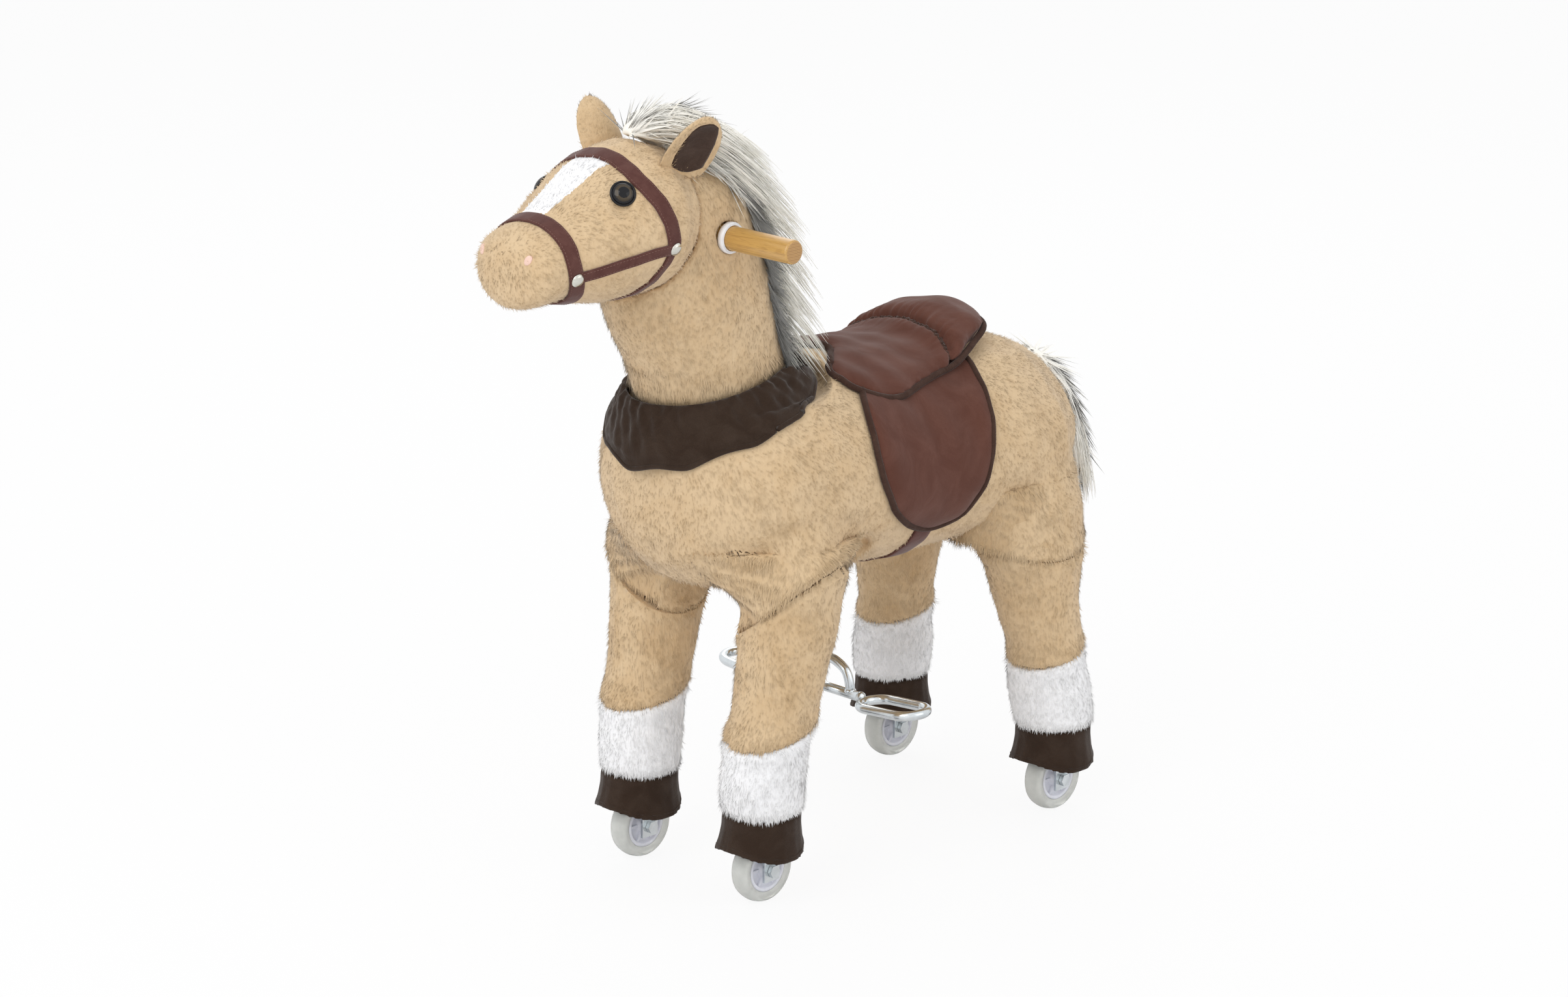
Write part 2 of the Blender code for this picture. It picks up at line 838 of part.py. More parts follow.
# Chassis: one welded frame of head tube, beam and rear hinge block, then the foot bar
beam_bottom = block_top + swing_gap
head_tube_top = beam_bottom + head_tube_height
frame = box(
    "spine_frame",
    (-beam_width / 2, column_y, beam_bottom),
    (beam_width / 2, rear_hinge_y + beam_tail, beam_bottom + beam_depth),
    "painted_steel",
    whole,
)
rear_block = add_cutter("rear_hinge_block", hinge_block_mesh("rear_hinge_block", rear_hinge_y))
rear_neck = add_cutter("rear_hinge_neck", box_mesh(
    "rear_hinge_neck",
    (-beam_width / 2, rear_hinge_y - beam_tail, hinge_height),
    (beam_width / 2, rear_hinge_y + beam_tail, beam_bottom + beam_depth / 2),
))
head_tube = rod_cutter(
    "head_tube",
    (0, column_y, beam_bottom),
    (0, column_y, head_tube_top),
    head_tube_radius,
    sides=20,
)
boolean(frame, rear_block, "UNION")
boolean(frame, rear_neck, "UNION")
boolean(frame, head_tube, "UNION")
boolean(frame, hinge_bore("rear_bore", rear_hinge_y))
boolean(frame, bore_cutter(
    "head_tube_bore",
    (0, column_y, beam_bottom - cutter_overrun),
    (0, column_y, head_tube_top + cutter_overrun),
    column_radius + seat_gap,
    sides=20,
))

foot_bar_y = -foot_bar_forward
post_bottom = foot_bar_height + brace_rise + foot_rod_radius + seat_gap
post_foot = Vector((0, foot_bar_y, post_bottom))
post_head = Vector((0, foot_bar_y, beam_bottom - seat_gap))
rod("pedal_post", post_foot, post_head, post_radius, "painted_steel", whole)


def tube_rings(path, radius, sides, closed=False):
    rings = []
    count = len(path)
    for index, place in enumerate(path):
        if closed:
            before = path[index - 1]
            after = path[(index + 1) % count]
        else:
            before = path[max(index - 1, 0)]
            after = path[min(index + 1, count - 1)]
        along = (Vector(after) - Vector(before)).normalized()
        side = along.cross(Vector((0, 1, 0))) if abs(along.y) < 0.9 else along.cross(Vector((0, 0, 1)))
        side.normalize()
        other = along.cross(side).normalized()
        ring = []
        for step in range(sides):
            angle = 2 * math.pi * step / sides
            ring.append(Vector(place) + radius * (math.cos(angle) * side + math.sin(angle) * other))
        rings.append(ring)
    return rings


stirrup_inner = stirrup_centre - stirrup_length / 2
bar_reach = stirrup_inner - seat_gap
crossbar = rod(
    "foot_crossbar",
    (-bar_reach, foot_bar_y, foot_bar_height),
    (bar_reach, foot_bar_y, foot_bar_height),
    foot_rod_radius,
    "zinc_steel",
    whole,
    12,
)
brace_shares = (
    (-1.00, 0.00),
    (-0.98, 0.35),
    (-0.84, 0.72),
    (-0.50, 0.94),
    (-0.20, 1.00),
    (0.20, 1.00),
    (0.50, 0.94),
    (0.84, 0.72),
    (0.98, 0.35),
    (1.00, 0.00),
)
brace_path = [
    (across * brace_half_width, foot_bar_y, foot_bar_height + up * brace_rise)
    for across, up in brace_shares
]
brace_rings = tube_rings(brace_path, foot_rod_radius * 0.96, 8)
brace = add_cutter("foot_brace_shape", loft_mesh("foot_brace", brace_rings))
boolean(crossbar, brace, "UNION")


def stirrup_path(side):
    half_length = stirrup_length / 2 - foot_rod_radius
    half_width = stirrup_width / 2 - foot_rod_radius
    straight = half_length - half_width
    path = []
    for end in (1, -1):
        for step in range(8):
            angle = math.radians(90 - 180 * step / 7)
            x = end * (straight + half_width * math.cos(angle))
            y = end * half_width * math.sin(angle)
            lift = stirrup_lift * x / half_length
            path.append((side * (stirrup_centre + x), foot_bar_y + y, foot_bar_height + lift))
    return path


def stirrup_rings(side):
    rings = []
    path = stirrup_path(side)
    for index, place in enumerate(path):
        along = (Vector(path[(index + 1) % len(path)]) - Vector(path[index - 1])).normalized()
        up = Vector((0, 0, 1))
        out = along.cross(up).normalized()
        up = out.cross(along).normalized()
        ring = []
        for step in range(8):
            angle = 2 * math.pi * step / 8
            ring.append(Vector(place) + foot_rod_radius * (math.cos(angle) * out + math.sin(angle) * up))
        rings.append(ring)
    return rings


for side, hand in ((1, "left"), (-1, "right")):
    loft(f"{hand}_stirrup", stirrup_rings(side), "zinc_steel", whole, closed=True)


# Steering column, with the sleeve that holds the handle bar
handle_y = column_y - handle_forward
handle_place = Vector((0, handle_y, handle_height))
bend_height = hinge_height + column_bend_rise
column_path = [
    (0, column_y, block_top + seat_gap),
    (0, column_y, bend_height - column_radius),
    (0, column_y - column_radius * 0.10, bend_height),
    (0, column_y - column_radius * 0.50, bend_height + column_radius * 1.2),
    tuple(handle_place),
]


def column_rings(grow):
    rings = []
    for index, place in enumerate(column_path):
        before = Vector(column_path[max(index - 1, 0)])
        after = Vector(column_path[min(index + 1, len(column_path) - 1)])
        along = (after - before).normalized()
        if index == len(column_path) - 1 or index == 0:
            along = Vector((0, 0, 1))
        forward = Vector((0, along.z, -along.y))
        ring = []
        for step in range(14):
            angle = 2 * math.pi * step / 14
            ring.append(Vector(place) + (column_radius + grow) * (
                math.sin(angle) * Vector((1, 0, 0)) + math.cos(angle) * forward
            ))
        rings.append(ring)
    return rings


column = loft("steering_column", column_rings(0), "painted_steel", steer_pivot)
sleeve_outer = handle_radius + handle_sleeve_wall
half_sleeve = Vector((handle_sleeve_length / 2, 0, 0))
sleeve_low = handle_place - half_sleeve
sleeve_high = handle_place + half_sleeve
boolean(column, rod_cutter("handle_sleeve", sleeve_low, sleeve_high, sleeve_outer), "UNION")
half_span = Vector((handle_span / 2, 0, 0))
handle_low = handle_place - half_span
handle_high = handle_place + half_span
boolean(column, bore_cutter("handle_bore", handle_low, handle_high, handle_radius + seat_gap))
rod("handle_bar", handle_low, handle_high, handle_radius, "handle_wood", steer_pivot, 20)


# Torso: the padded body with a stub for each leg, hollow round the frame
def leg_rings(side, shares, axle_y, track, lean, grow_x=0.0, grow_y=0.0):
    rings = []
    span = leg_top_height - sock_bottom_height
    for up, half_x, half_y, leaned in smooth_rows(shares, rings_per_span):
        centre = (
            side * (track / 2 + lean[0] * leaned),
            axle_y + lean[1] * leaned,
            sock_bottom_height + up * span,
        )
        rings.append(ellipse(centre, half_x * leg_radius + grow_x, half_y * leg_radius + grow_y, leg_sides))
    return rings


def ball_mesh(name, centre, radius):
    mesh_data = bmesh.new()
    bmesh.ops.create_icosphere(mesh_data, subdivisions=3, radius=radius)
    bmesh.ops.translate(mesh_data, vec=centre, verts=mesh_data.verts)
    return close_mesh(name, mesh_data)


seam_tools = {
    "front": ball_mesh("front_seam_ball", steer_place, front_seam_radius),
    "rear": rod_mesh("rear_seam_drum", (-torso_width, rear_hinge_y, hinge_height),
                     (torso_width, rear_hinge_y, hinge_height), rear_seam_radius, 40),
}
seam_tools_outer = {
    "front": ball_mesh("front_seam_ball_outer", steer_place, front_seam_radius + seam_gap),
    "rear": rod_mesh("rear_seam_drum_outer", (-torso_width, rear_hinge_y, hinge_height),
                     (torso_width, rear_hinge_y, hinge_height), rear_seam_radius + seam_gap, 40),
}
leg_data = {
    "front": (front_leg_shares, front_axle_y, front_track, front_leg_lean, front_swing_pivot),
    "rear": (rear_leg_shares, rear_axle_y, rear_track, rear_leg_lean, rear_swing_pivot),
}

torso = loft("torso", skin_rings(torso_table, 0, torso_sides), "tan_plush", whole)
for end, (shares, axle_y, track, lean, pivot) in leg_data.items():
    for side, hand in ((1, "left"), (-1, "right")):
        corner = f"{end}_{hand}"
        rings = leg_rings(side, shares, axle_y, track, lean, 2 * swing_gap, pocket_margin)
        pocket = add_cutter(f"{corner}_pocket", loft_mesh(f"{corner}_pocket", rings))
        seam = add_cutter(f"{corner}_pocket_seam", seam_tools[end].copy())
        boolean(pocket, seam)
        boolean(torso, pocket)
for end, (shares, axle_y, track, lean, pivot) in leg_data.items():
    for side, hand in ((1, "left"), (-1, "right")):
        corner = f"{end}_{hand}"
        rings = leg_rings(side, shares, axle_y, track, lean)
        stub = add_cutter(f"{corner}_stub", loft_mesh(f"{corner}_stub", rings))
        boolean(stub, add_cutter(f"{corner}_stub_seam", seam_tools[end].copy()), "INTERSECT")
        boolean(torso, stub, "UNION")

inner_table = [row for row in torso_table if row[1] > torso_padding * 1.6]
cavity_rings = skin_rings(inner_table[1:-1], -torso_padding, cavity_sides)
boolean(torso, add_cutter("torso_cavity", loft_mesh("torso_cavity", cavity_rings)))
for end, lines in (("front", front_lines), ("rear", rear_lines)):
    for side, hand in ((1, "left"), (-1, "right")):
        low = tube_place(lines[side], hinge_height - torso_depth)
        high = tube_place(lines[side], hinge_height - 2 * sleeve_radius)
        rings = [
            ellipse(low, slot_half_width, slot_half_length, 16),
            ellipse(high, slot_half_width, slot_half_length, 16),
        ]
        boolean(torso, add_cutter(f"{end}_{hand}_slot", loft_mesh("slot", rings)))
boolean(torso, bore_cutter("post_hole", post_foot, post_head, post_radius + seat_gap))
boolean(torso, rod_cutter(
    "neck_seat",
    (0, column_y, neck_seat_height),
    (0, column_y, neck_seat_height + torso_depth),
    neck_seat_radius,
    sides=32,
))


# Legs: tan plush above a slanting seam, a white sock below it, a hoof under the sock
def half_space(name, centre, normal, size):
    # a block whose flat top lies on the plane
    mesh = box_mesh(name, (-size, -size, -size), (size, size, 0))
    turn = Vector((0, 0, 1)).rotation_difference(Vector(normal)).to_matrix().to_4x4()
    mesh.transform(Matrix.Translation(Vector(centre)) @ turn)
    return mesh


sock_normal = Vector((0, -sock_edge_rise, sock_edge_span)).normalized()


def hoof_rings(x, y, line):
    # one ring for each step round: down the outside, up the hollow, out through the roof
    top = sock_bottom_height - seat_gap
    roof = top - hoof_roof
    tube = tube_place(line, (top + roof) / 2)
    hole_radius = (tube_radius + swing_gap) / math.cos(math.pi / hoof_sides)
    rings = []
    for step in range(hoof_sides):
        angle = 2 * math.pi * step / hoof_sides
        out = Vector((math.sin(angle), -math.cos(angle), 0))
        hem = top - hoof_height + hoof_hem_arch * math.cos(angle) ** 2
        ring = []
        for up, share in ((1.00, 0.82), (0.92, 0.91), (0.62, 0.91), (0.30, 0.94), (0.00, 1.00)):
            height = hem + (top - hem) * up
            ring.append(Vector((x, y, height)) + out * (hoof_hem_radius * share))
        ring.append(Vector((x, y, hem)) + out * (wheel_radius + hoof_wall))
        ring.append(Vector((x, y, roof)) + out * (wheel_radius * 0.86))
        ring.append(Vector((tube.x, tube.y, roof)) + out * hole_radius)
        ring.append(Vector((tube.x, tube.y, top)) + out * hole_radius)
        rings.append(ring)
    return rings


for end, (shares, axle_y, track, lean, pivot) in leg_data.items():
    lines = front_lines if end == "front" else rear_lines
    for side, hand in ((1, "left"), (-1, "right")):
        corner = f"{end}_{hand}"
        x = side * track / 2
        seam_middle = (x, axle_y, sock_edge_height)
        above = Vector(seam_middle) + sock_normal * seat_gap
        foot, top = lines[side]
        bore_low = foot - (top - foot) * 0.5
        rings = leg_rings(side, shares, axle_y, track, lean)
        leg = loft(f"{corner}_leg", rings, "tan_plush", pivot)
        boolean(leg, add_cutter(f"{corner}_leg_seam", seam_tools_outer[end].copy(), pivot))
        lower = half_space("below_sock_edge", above, sock_normal, torso_depth)
        boolean(leg, add_cutter(f"{corner}_below_edge", lower, pivot))
        sock = loft(f"{corner}_sock", rings, "white_plush", pivot)
        upper = half_space("above_sock_edge", seam_middle, -sock_normal, torso_length)
        boolean(sock, add_cutter(f"{corner}_above_edge", upper, pivot))
        hoof = hoof_rings(x, axle_y, lines[side])
        loft(f"{corner}_hoof", hoof, "dark_suede", pivot, closed=True)
        for plush in (leg, sock):
            boolean(plush, bore_cutter(f"{plush.name}_bore", bore_low, top, tube_radius + seat_gap, pivot))


# Head and neck
def neck_rows():
    rows = []
    for up, half_x, half_y, lean in smooth_rows(neck_ring_shares, rings_per_span):
        rows.append((
            neck_seat_height + neck_gap + up * neck_height,
            half_x * neck_width,
            half_y * neck_depth,
            column_y - neck_foot_forward - lean * neck_lean,
        ))
    return rows


neck_table = neck_rows()


def neck_rings(proud):
    return [
        ellipse((0, y, z), half_x + proud, half_y + proud, neck_sides)
        for z, half_x, half_y, y in neck_table
    ]


head = loft("head", skin_rings(head_table, 0, head_sides), "tan_plush", steer_pivot)
neck = loft("neck", neck_rings(0), "tan_plush", steer_pivot)
grown_head = loft_mesh("head_shape", skin_rings(head_table, seat_gap, head_sides))
head_shape = add_cutter("head_shape", grown_head, steer_pivot)
boolean(neck, head_shape)
boolean(neck, bore_cutter(
    "neck_head_tube_room",
    (0, column_y, neck_seat_height - cutter_overrun),
    (0, column_y, head_tube_top + swing_gap),
    head_tube_radius + swing_gap,
    steer_pivot,
    20,
))
column_room = add_cutter("column_room", loft_mesh("column_room", column_rings(seat_gap)), steer_pivot)
sleeve_room_half = half_sleeve + Vector((seat_gap, 0, 0))
sleeve_room = bore_cutter("sleeve_room", handle_place - sleeve_room_half, handle_place + sleeve_room_half,
                         sleeve_outer + seat_gap, steer_pivot)
handle_room_half = half_span + Vector((cutter_overrun, 0, 0))
handle_room = bore_cutter("handle_room", handle_place - handle_room_half, handle_place + handle_room_half,
                         handle_radius + seat_gap, steer_pivot, 20)
for tool in (column_room, sleeve_room, handle_room):
    boolean(neck, tool)
for tool in (sleeve_room, handle_room):
    boolean(head, tool)

# A washer on the handle bar covers each hole in the plush
grommet_x = look_up(neck_table, handle_height)[0] * 0.985
for side, hand in ((1, "left"), (-1, "right")):
    rings = []
    for step in range(16):
        angle = 2 * math.pi * step / 16
        ring = []
        for out, radius in (
            (0, handle_radius + seat_gap),
            (grommet_thickness, handle_radius + seat_gap),
            (grommet_thickness, grommet_radius - grommet_thickness / 2),
            (grommet_thickness / 2, grommet_radius),
            (0, grommet_radius),
        ):
            turn = Vector((0, radius * math.cos(angle), radius * math.sin(angle)))
            ring.append(handle_place + turn + Vector((side * (grommet_x + out), 0, 0)))
        rings.append(ring)
    loft(f"{hand}_grommet", rings, "white_plastic", steer_pivot, closed=True)
    seat = handle_place + Vector((side * (grommet_x - seat_gap), 0, 0))
    beyond = handle_place + Vector((side * handle_span, 0, 0))
    grommet_room = bore_cutter("grommet_room", seat, beyond, grommet_radius + seat_gap, steer_pivot, 16)
    boolean(neck, grommet_room)


# Eyes and ears, seated in the head
def oval_mesh(name, centre, normal, radius, bulge):
    mesh_data = bmesh.new()
    bmesh.ops.create_uvsphere(mesh_data, u_segments=12, v_segments=8, radius=radius)
    bmesh.ops.scale(mesh_data, vec=(1, 1, bulge / radius), verts=mesh_data.verts)
    turn = Vector((0, 0, 1)).rotation_difference(Vector(normal)).to_matrix().to_4x4()
    mesh = close_mesh(name, mesh_data)
    mesh.transform(Matrix.Translation(Vector(centre)) @ turn)
    return mesh


for side, hand in ((1, "left"), (-1, "right")):
    eye_y = eye_back - head_nose_forward
    eye_place = skin_point(head_table, eye_y, side * eye_angle, 0)
    normal = skin_normal(head_table, eye_y, side * eye_angle)
    eye = oval_mesh(f"{hand}_eye", eye_place, normal, eye_radius, eye_bulge)
    place_object(f"{hand}_eye", eye, "eye_gloss", steer_pivot)
    socket = oval_mesh("eye_socket", eye_place, normal, eye_radius + seat_gap, eye_bulge + seat_gap)
    boolean(head, add_cutter(f"{hand}_eye_socket", socket, steer_pivot))

    ear_foot = Vector((side * ear_spread, ear_back - head_nose_forward, ear_seat_height))
    along = Vector((side * math.sin(ear_splay), 0, math.cos(ear_splay)))
    across = Vector((0, 1, 0))
    thick = along.cross(across)
    rings = []
    for up, half in smooth_rows(ear_ring_shares, rings_per_span):
        ring = []
        for step in range(12):
            angle = 2 * math.pi * step / 12
            point = ear_foot + along * (up * ear_length)
            point += across * (half * ear_width * math.cos(angle))
            point += thick * (ear_thickness / 2 * min(1, half * 3) * math.sin(angle))
            ring.append(point)
        rings.append(ring)
    ear = loft(f"{hand}_ear", rings, "tan_plush", steer_pivot)
    boolean(ear, head_shape)


# Mane and tail
def swept_rings(path, sizes, sides):
    rings = []
    for index, place in enumerate(path):
        before = Vector(path[max(index - 1, 0)])
        after = Vector(path[min(index + 1, len(path) - 1)])
        along = (after - before).normalized()
        out = Vector((1, 0, 0)).cross(along).normalized()
        half_x, half_out = sizes[index]
        ring = []
        for step in range(sides):
            angle = 2 * math.pi * step / sides
            across = Vector((half_x * math.sin(angle), 0, 0))
            ring.append(Vector(place) + across + out * half_out * math.cos(angle))
        rings.append(ring)
    return rings


mane_path = []
mane_sizes = []
for back, up, full in smooth_rows(mane_path_shares, rings_per_span):
    mane_path.append((0, column_y + back * neck_depth, neck_seat_height + up * neck_height))
    mane_sizes.append((mane_half_width * full, mane_half_depth * full))
mane = loft("mane", swept_rings(mane_path, mane_sizes, mane_sides), "cream_hair", steer_pivot)
neck_shape = add_cutter("neck_shape", loft_mesh("neck_shape", neck_rings(seat_gap)), steer_pivot)
boolean(mane, head_shape)
boolean(mane, neck_shape)
mane_floor = half_space("mane_floor", (0, column_y, mane_foot_height), (0, 0, 1), torso_length)
boolean(mane, add_cutter("mane_floor", mane_floor, steer_pivot))

tail_root = Vector((0, torso_back - tail_root_sink, tail_root_height))
tail_path = []
tail_sizes = []
for along, half, out, down in smooth_rows(tail_ring_shares, 2):
    tail_path.append(tail_root + Vector((0, out * tail_reach, -down * tail_drop)))
    tail_sizes.append((half * tail_width, half * tail_depth))
tail_rings = swept_rings(tail_path, tail_sizes, tail_sides)
tail = loft("tail", tail_rings, "cream_hair", whole)
grown_torso = loft_mesh("torso_shape", skin_rings(torso_table, seat_gap, torso_sides))
torso_shape = add_cutter("torso_shape", grown_torso)
boolean(tail, torso_shape)
tail_tip_y = max(point.y for ring in tail_rings for point in ring)
centre_shift = (head_nose_forward - tail_tip_y) / 2
whole.location = (0, centre_shift, 0)


# Collar: a padded ring that lies on the chest and shoulders round the neck's foot
def mix_round(angle, front, side, back):
    across = math.sin(angle) ** 2
    along = math.cos(angle) ** 2
    return side * across + (front if math.cos(angle) > 0 else back) * along


def collar_rings():
    rings = []
    half_x, half_y, middle_y = look_up(neck_table, collar_top_height)
    for column in range(collar_columns):
        angle = 2 * math.pi * column / collar_columns
        out = Vector((math.sin(angle), -math.cos(angle), 0))
        top = Vector((
            (half_x + collar_clearance) * out.x,
            middle_y + (half_y + collar_clearance) * out.y,
            collar_top_height - collar_top_tilt * math.cos(angle),
        ))
        drop = mix_round(angle, collar_front_drop, collar_side_drop, collar_back_drop)
        drop += collar_scallop * math.cos(angle * collar_scallops)
        flare = mix_round(angle, collar_front_flare, collar_side_flare, collar_back_flare)
        slope = (out * flare - Vector((0, 0, drop))).normalized()
        away = (out * drop + Vector((0, 0, flare))).normalized()
        length = math.hypot(drop, flare)
        inside = []
        outside = []
        for share, fullness in ((0.00, 0.45), (0.22, 0.95), (0.72, 1.0), (1.00, 0.5)):
            line = top + slope * (share * length)
            inner = outside_torso(line, seat_gap * 4)
            inside.append(inner)
            outside.append(inner + away * collar_thickness * fullness)
        rings.append(inside + outside[::-1])
    return rings


collar = loft("collar", collar_rings(), "dark_suede", whole, closed=True)
boolean(collar, torso_shape)


# Saddle: the seat pad lies over a skirt that hangs down both sides
def wrap_pad(edge_shares, front_y, length, top_angle, proud, thickness, columns, rows):
    # rings run fore and aft, one for each step round the body from right to left
    rings = []
    for column in range(columns + 1):
        part = 2 * column / columns - 1
        part = math.copysign(math.sin(abs(part) * math.pi / 2) ** 0.9, part) if part else 0.0
        front_share, back_share = look_up(edge_shares, abs(part))
        low = front_y + front_share * length
        high = front_y + back_share * length
        angle = part * top_angle
        outer = []
        inner = []
        for row in range(rows + 1):
            share = row / rows
            y = low + (high - low) * share
            height = thickness(part, share, y)
            outer.append(skin_point(torso_table, y, angle, proud + height))
            inner.append(skin_point(torso_table, y, angle, proud))
        rings.append(outer + inner[::-1])
    return rings


cantle_start = seat_length - seat_front - cantle_length


def seat_fullness(part, share, y):
    edge = min(1, (1 - abs(part)) * 6, share * 8, (1 - share) * 8)
    pad = seat_edge + (seat_thickness - seat_edge) * math.sin(edge * math.pi / 2)
    climb = min(1, max(0, (y - cantle_start) / cantle_length))
    rise = math.sin(climb * math.pi / 2) ** 2 * math.cos(min(1, abs(part) * 1.15) * math.pi / 2)
    return pad + cantle_height * rise


def even_fullness(part, share, y):
    return skirt_thickness


seat_proud = skirt_lift + skirt_thickness + seat_lift
seat_size = (-seat_front, seat_length, seat_angle, seat_proud)
skirt_size = (-skirt_front, skirt_length, skirt_angle, skirt_lift)
seat_rings = wrap_pad(seat_edge_shares, *seat_size, seat_fullness, 18, 10)
skirt_rings = wrap_pad(skirt_edge_shares, *skirt_size, even_fullness, 28, 4)
loft("saddle_seat", seat_rings, "saddle_velour", whole)
loft("saddle_skirt", skirt_rings, "saddle_velour", whole)


def girth_rings():
    rings = []
    steps = 14
    start = skirt_angle + girth_thickness / torso_depth * 6
    for step in range(steps + 1):
        angle = start + (2 * math.pi - 2 * start) * step / steps
        ring = []
        for offset, proud in ((-0.5, 0), (0, 0), (0.5, 0), (0.5, 1), (0, 1), (-0.5, 1)):
            y = girth_centre + offset * girth_width
            ring.append(skin_point(torso_table, y, angle, 2 * seat_gap + proud * girth_thickness))
        rings.append(ring)
    return rings


loft("girth_strap", girth_rings(), "bridle_webbing", whole)


# Bridle: webbing sewn into one harness, with a stud on each joint
def strap_rings(path, width, thickness, closed=False):
    rings = []
    count = len(path)
    for index, (y, angle) in enumerate(path):
        if closed:
            before = path[index - 1]
            after = path[(index + 1) % count]
        else:
            before = path[max(index - 1, 0)]
            after = path[min(index + 1, count - 1)]
        place = skin_point(head_table, y, angle, -strap_sink)
        start = skin_point(head_table, before[0], before[1], 0)
        finish_point = skin_point(head_table, after[0], after[1], 0)
        along = (finish_point - start).normalized()
        normal = skin_normal(head_table, y, angle)
        across = normal.cross(along).normalized() * (width / 2)
        out = normal * (strap_sink + thickness)
        rings.append([place - across, place + across, place + across + out, place - across + out])
    return rings


def path_between(start, end, steps, bow=0.0):
    path = []
    for step in range(steps + 1):
        share = step / steps
        y = start[0] + (end[0] - start[0]) * share + bow * math.sin(math.pi * share)
        path.append((y, start[1] + (end[1] - start[1]) * share))
    return path


noseband_y = noseband_back - head_nose_forward
crown_y = crown_back - head_nose_forward
nose_stud_angle = math.radians(96)
cheek_stud_angle = math.radians(101)
noseband_path = [(noseband_y, 2 * math.pi * step / 24) for step in range(24)]
crown_path = path_between((crown_y, -cheek_stud_angle), (crown_y, cheek_stud_angle), 18)
jaw_ends = ((crown_y, cheek_stud_angle), (crown_y, 2 * math.pi - cheek_stud_angle))
jaw_path = path_between(*jaw_ends, 14, -crown_strap_width * 1.6)
crown_rings = strap_rings(crown_path, crown_strap_width, strap_thickness)
bridle = loft("bridle", crown_rings, "bridle_webbing", steer_pivot)
jaw_mesh = loft_mesh("jaw_strap", strap_rings(jaw_path, cheek_strap_width, strap_thickness * 0.8))
boolean(bridle, add_cutter("jaw_strap", jaw_mesh, steer_pivot), "UNION")
for side, hand in ((1, "left"), (-1, "right")):
    nose_joint = (noseband_y, side * nose_stud_angle)
    cheek_joint = (crown_y, side * cheek_stud_angle)
    cheek_path = path_between(nose_joint, cheek_joint, 8)
    cheek_mesh = loft_mesh("cheek_strap", strap_rings(cheek_path, cheek_strap_width, strap_thickness * 1.2))
    boolean(bridle, add_cutter(f"{hand}_cheek_strap", cheek_mesh, steer_pivot), "UNION")
    nose_normal = skin_normal(head_table, *nose_joint)
    strap_normal = skin_normal(head_table, *cheek_path[1])
    cheek_normal = skin_normal(head_table, *cheek_joint)
    for label, joint, normal, lift in (
        ("noseband", nose_joint, nose_normal.lerp(strap_normal, nose_stud_turn_share), nose_stud_lift),
        ("cheek", cheek_joint, cheek_normal, cheek_stud_lift),
    ):
        out = normal.normalized()
        low = skin_point(head_table, joint[0], joint[1], 0) + out * lift
        high = low + out * stud_thickness
        rod(f"{hand}_{label}_stud", low, high, stud_radius, "zinc_steel", steer_pivot, 16)
noseband_rings = strap_rings(noseband_path, noseband_width, strap_thickness * 1.1, True)
noseband_mesh = loft_mesh("noseband", noseband_rings, True)
boolean(bridle, add_cutter("noseband_ring", noseband_mesh, steer_pivot), "UNION")
boolean(bridle, head_shape)
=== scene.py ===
import json
import math

import bmesh
import bpy
import numpy as np
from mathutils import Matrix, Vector
from mathutils.bvhtree import BVHTree


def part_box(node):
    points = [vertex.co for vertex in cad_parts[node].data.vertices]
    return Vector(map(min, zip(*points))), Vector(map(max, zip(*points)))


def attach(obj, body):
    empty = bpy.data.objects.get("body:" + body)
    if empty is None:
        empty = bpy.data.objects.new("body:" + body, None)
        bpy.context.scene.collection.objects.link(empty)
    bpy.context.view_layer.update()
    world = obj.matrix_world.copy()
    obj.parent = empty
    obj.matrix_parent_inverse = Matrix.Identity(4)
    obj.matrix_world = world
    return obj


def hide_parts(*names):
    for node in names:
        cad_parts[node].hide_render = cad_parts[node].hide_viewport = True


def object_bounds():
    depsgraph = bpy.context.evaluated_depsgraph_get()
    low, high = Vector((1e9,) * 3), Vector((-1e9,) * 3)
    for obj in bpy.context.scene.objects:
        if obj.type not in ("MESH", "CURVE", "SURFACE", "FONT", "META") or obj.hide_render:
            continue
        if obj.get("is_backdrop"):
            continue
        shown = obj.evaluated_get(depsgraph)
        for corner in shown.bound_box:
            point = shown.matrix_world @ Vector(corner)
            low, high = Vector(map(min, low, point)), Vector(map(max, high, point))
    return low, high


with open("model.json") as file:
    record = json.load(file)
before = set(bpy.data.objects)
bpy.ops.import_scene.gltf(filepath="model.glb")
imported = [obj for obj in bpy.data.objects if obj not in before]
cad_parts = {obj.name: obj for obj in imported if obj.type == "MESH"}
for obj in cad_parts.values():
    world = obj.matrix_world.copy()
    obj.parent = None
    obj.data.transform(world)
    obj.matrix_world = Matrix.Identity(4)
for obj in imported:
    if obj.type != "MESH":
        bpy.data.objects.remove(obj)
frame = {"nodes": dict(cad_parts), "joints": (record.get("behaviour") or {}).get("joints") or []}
nodes = frame["nodes"]
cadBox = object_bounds()
scene = bpy.context.scene
corners = ("front_left", "front_right", "rear_left", "rear_right")
hands = ((1, "left"), (-1, "right"))


def middleOf(node):
    low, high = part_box(node)
    return (low + high) / 2


steerPoint = Vector(frame["joints"][0]["pos_m"])
rearHinge = Vector([joint for joint in frame["joints"] if joint["name"] == "rear_swing"][0]["pos_m"])
wheelPlace = {corner: middleOf(f"{corner}_tyre") for corner in corners}


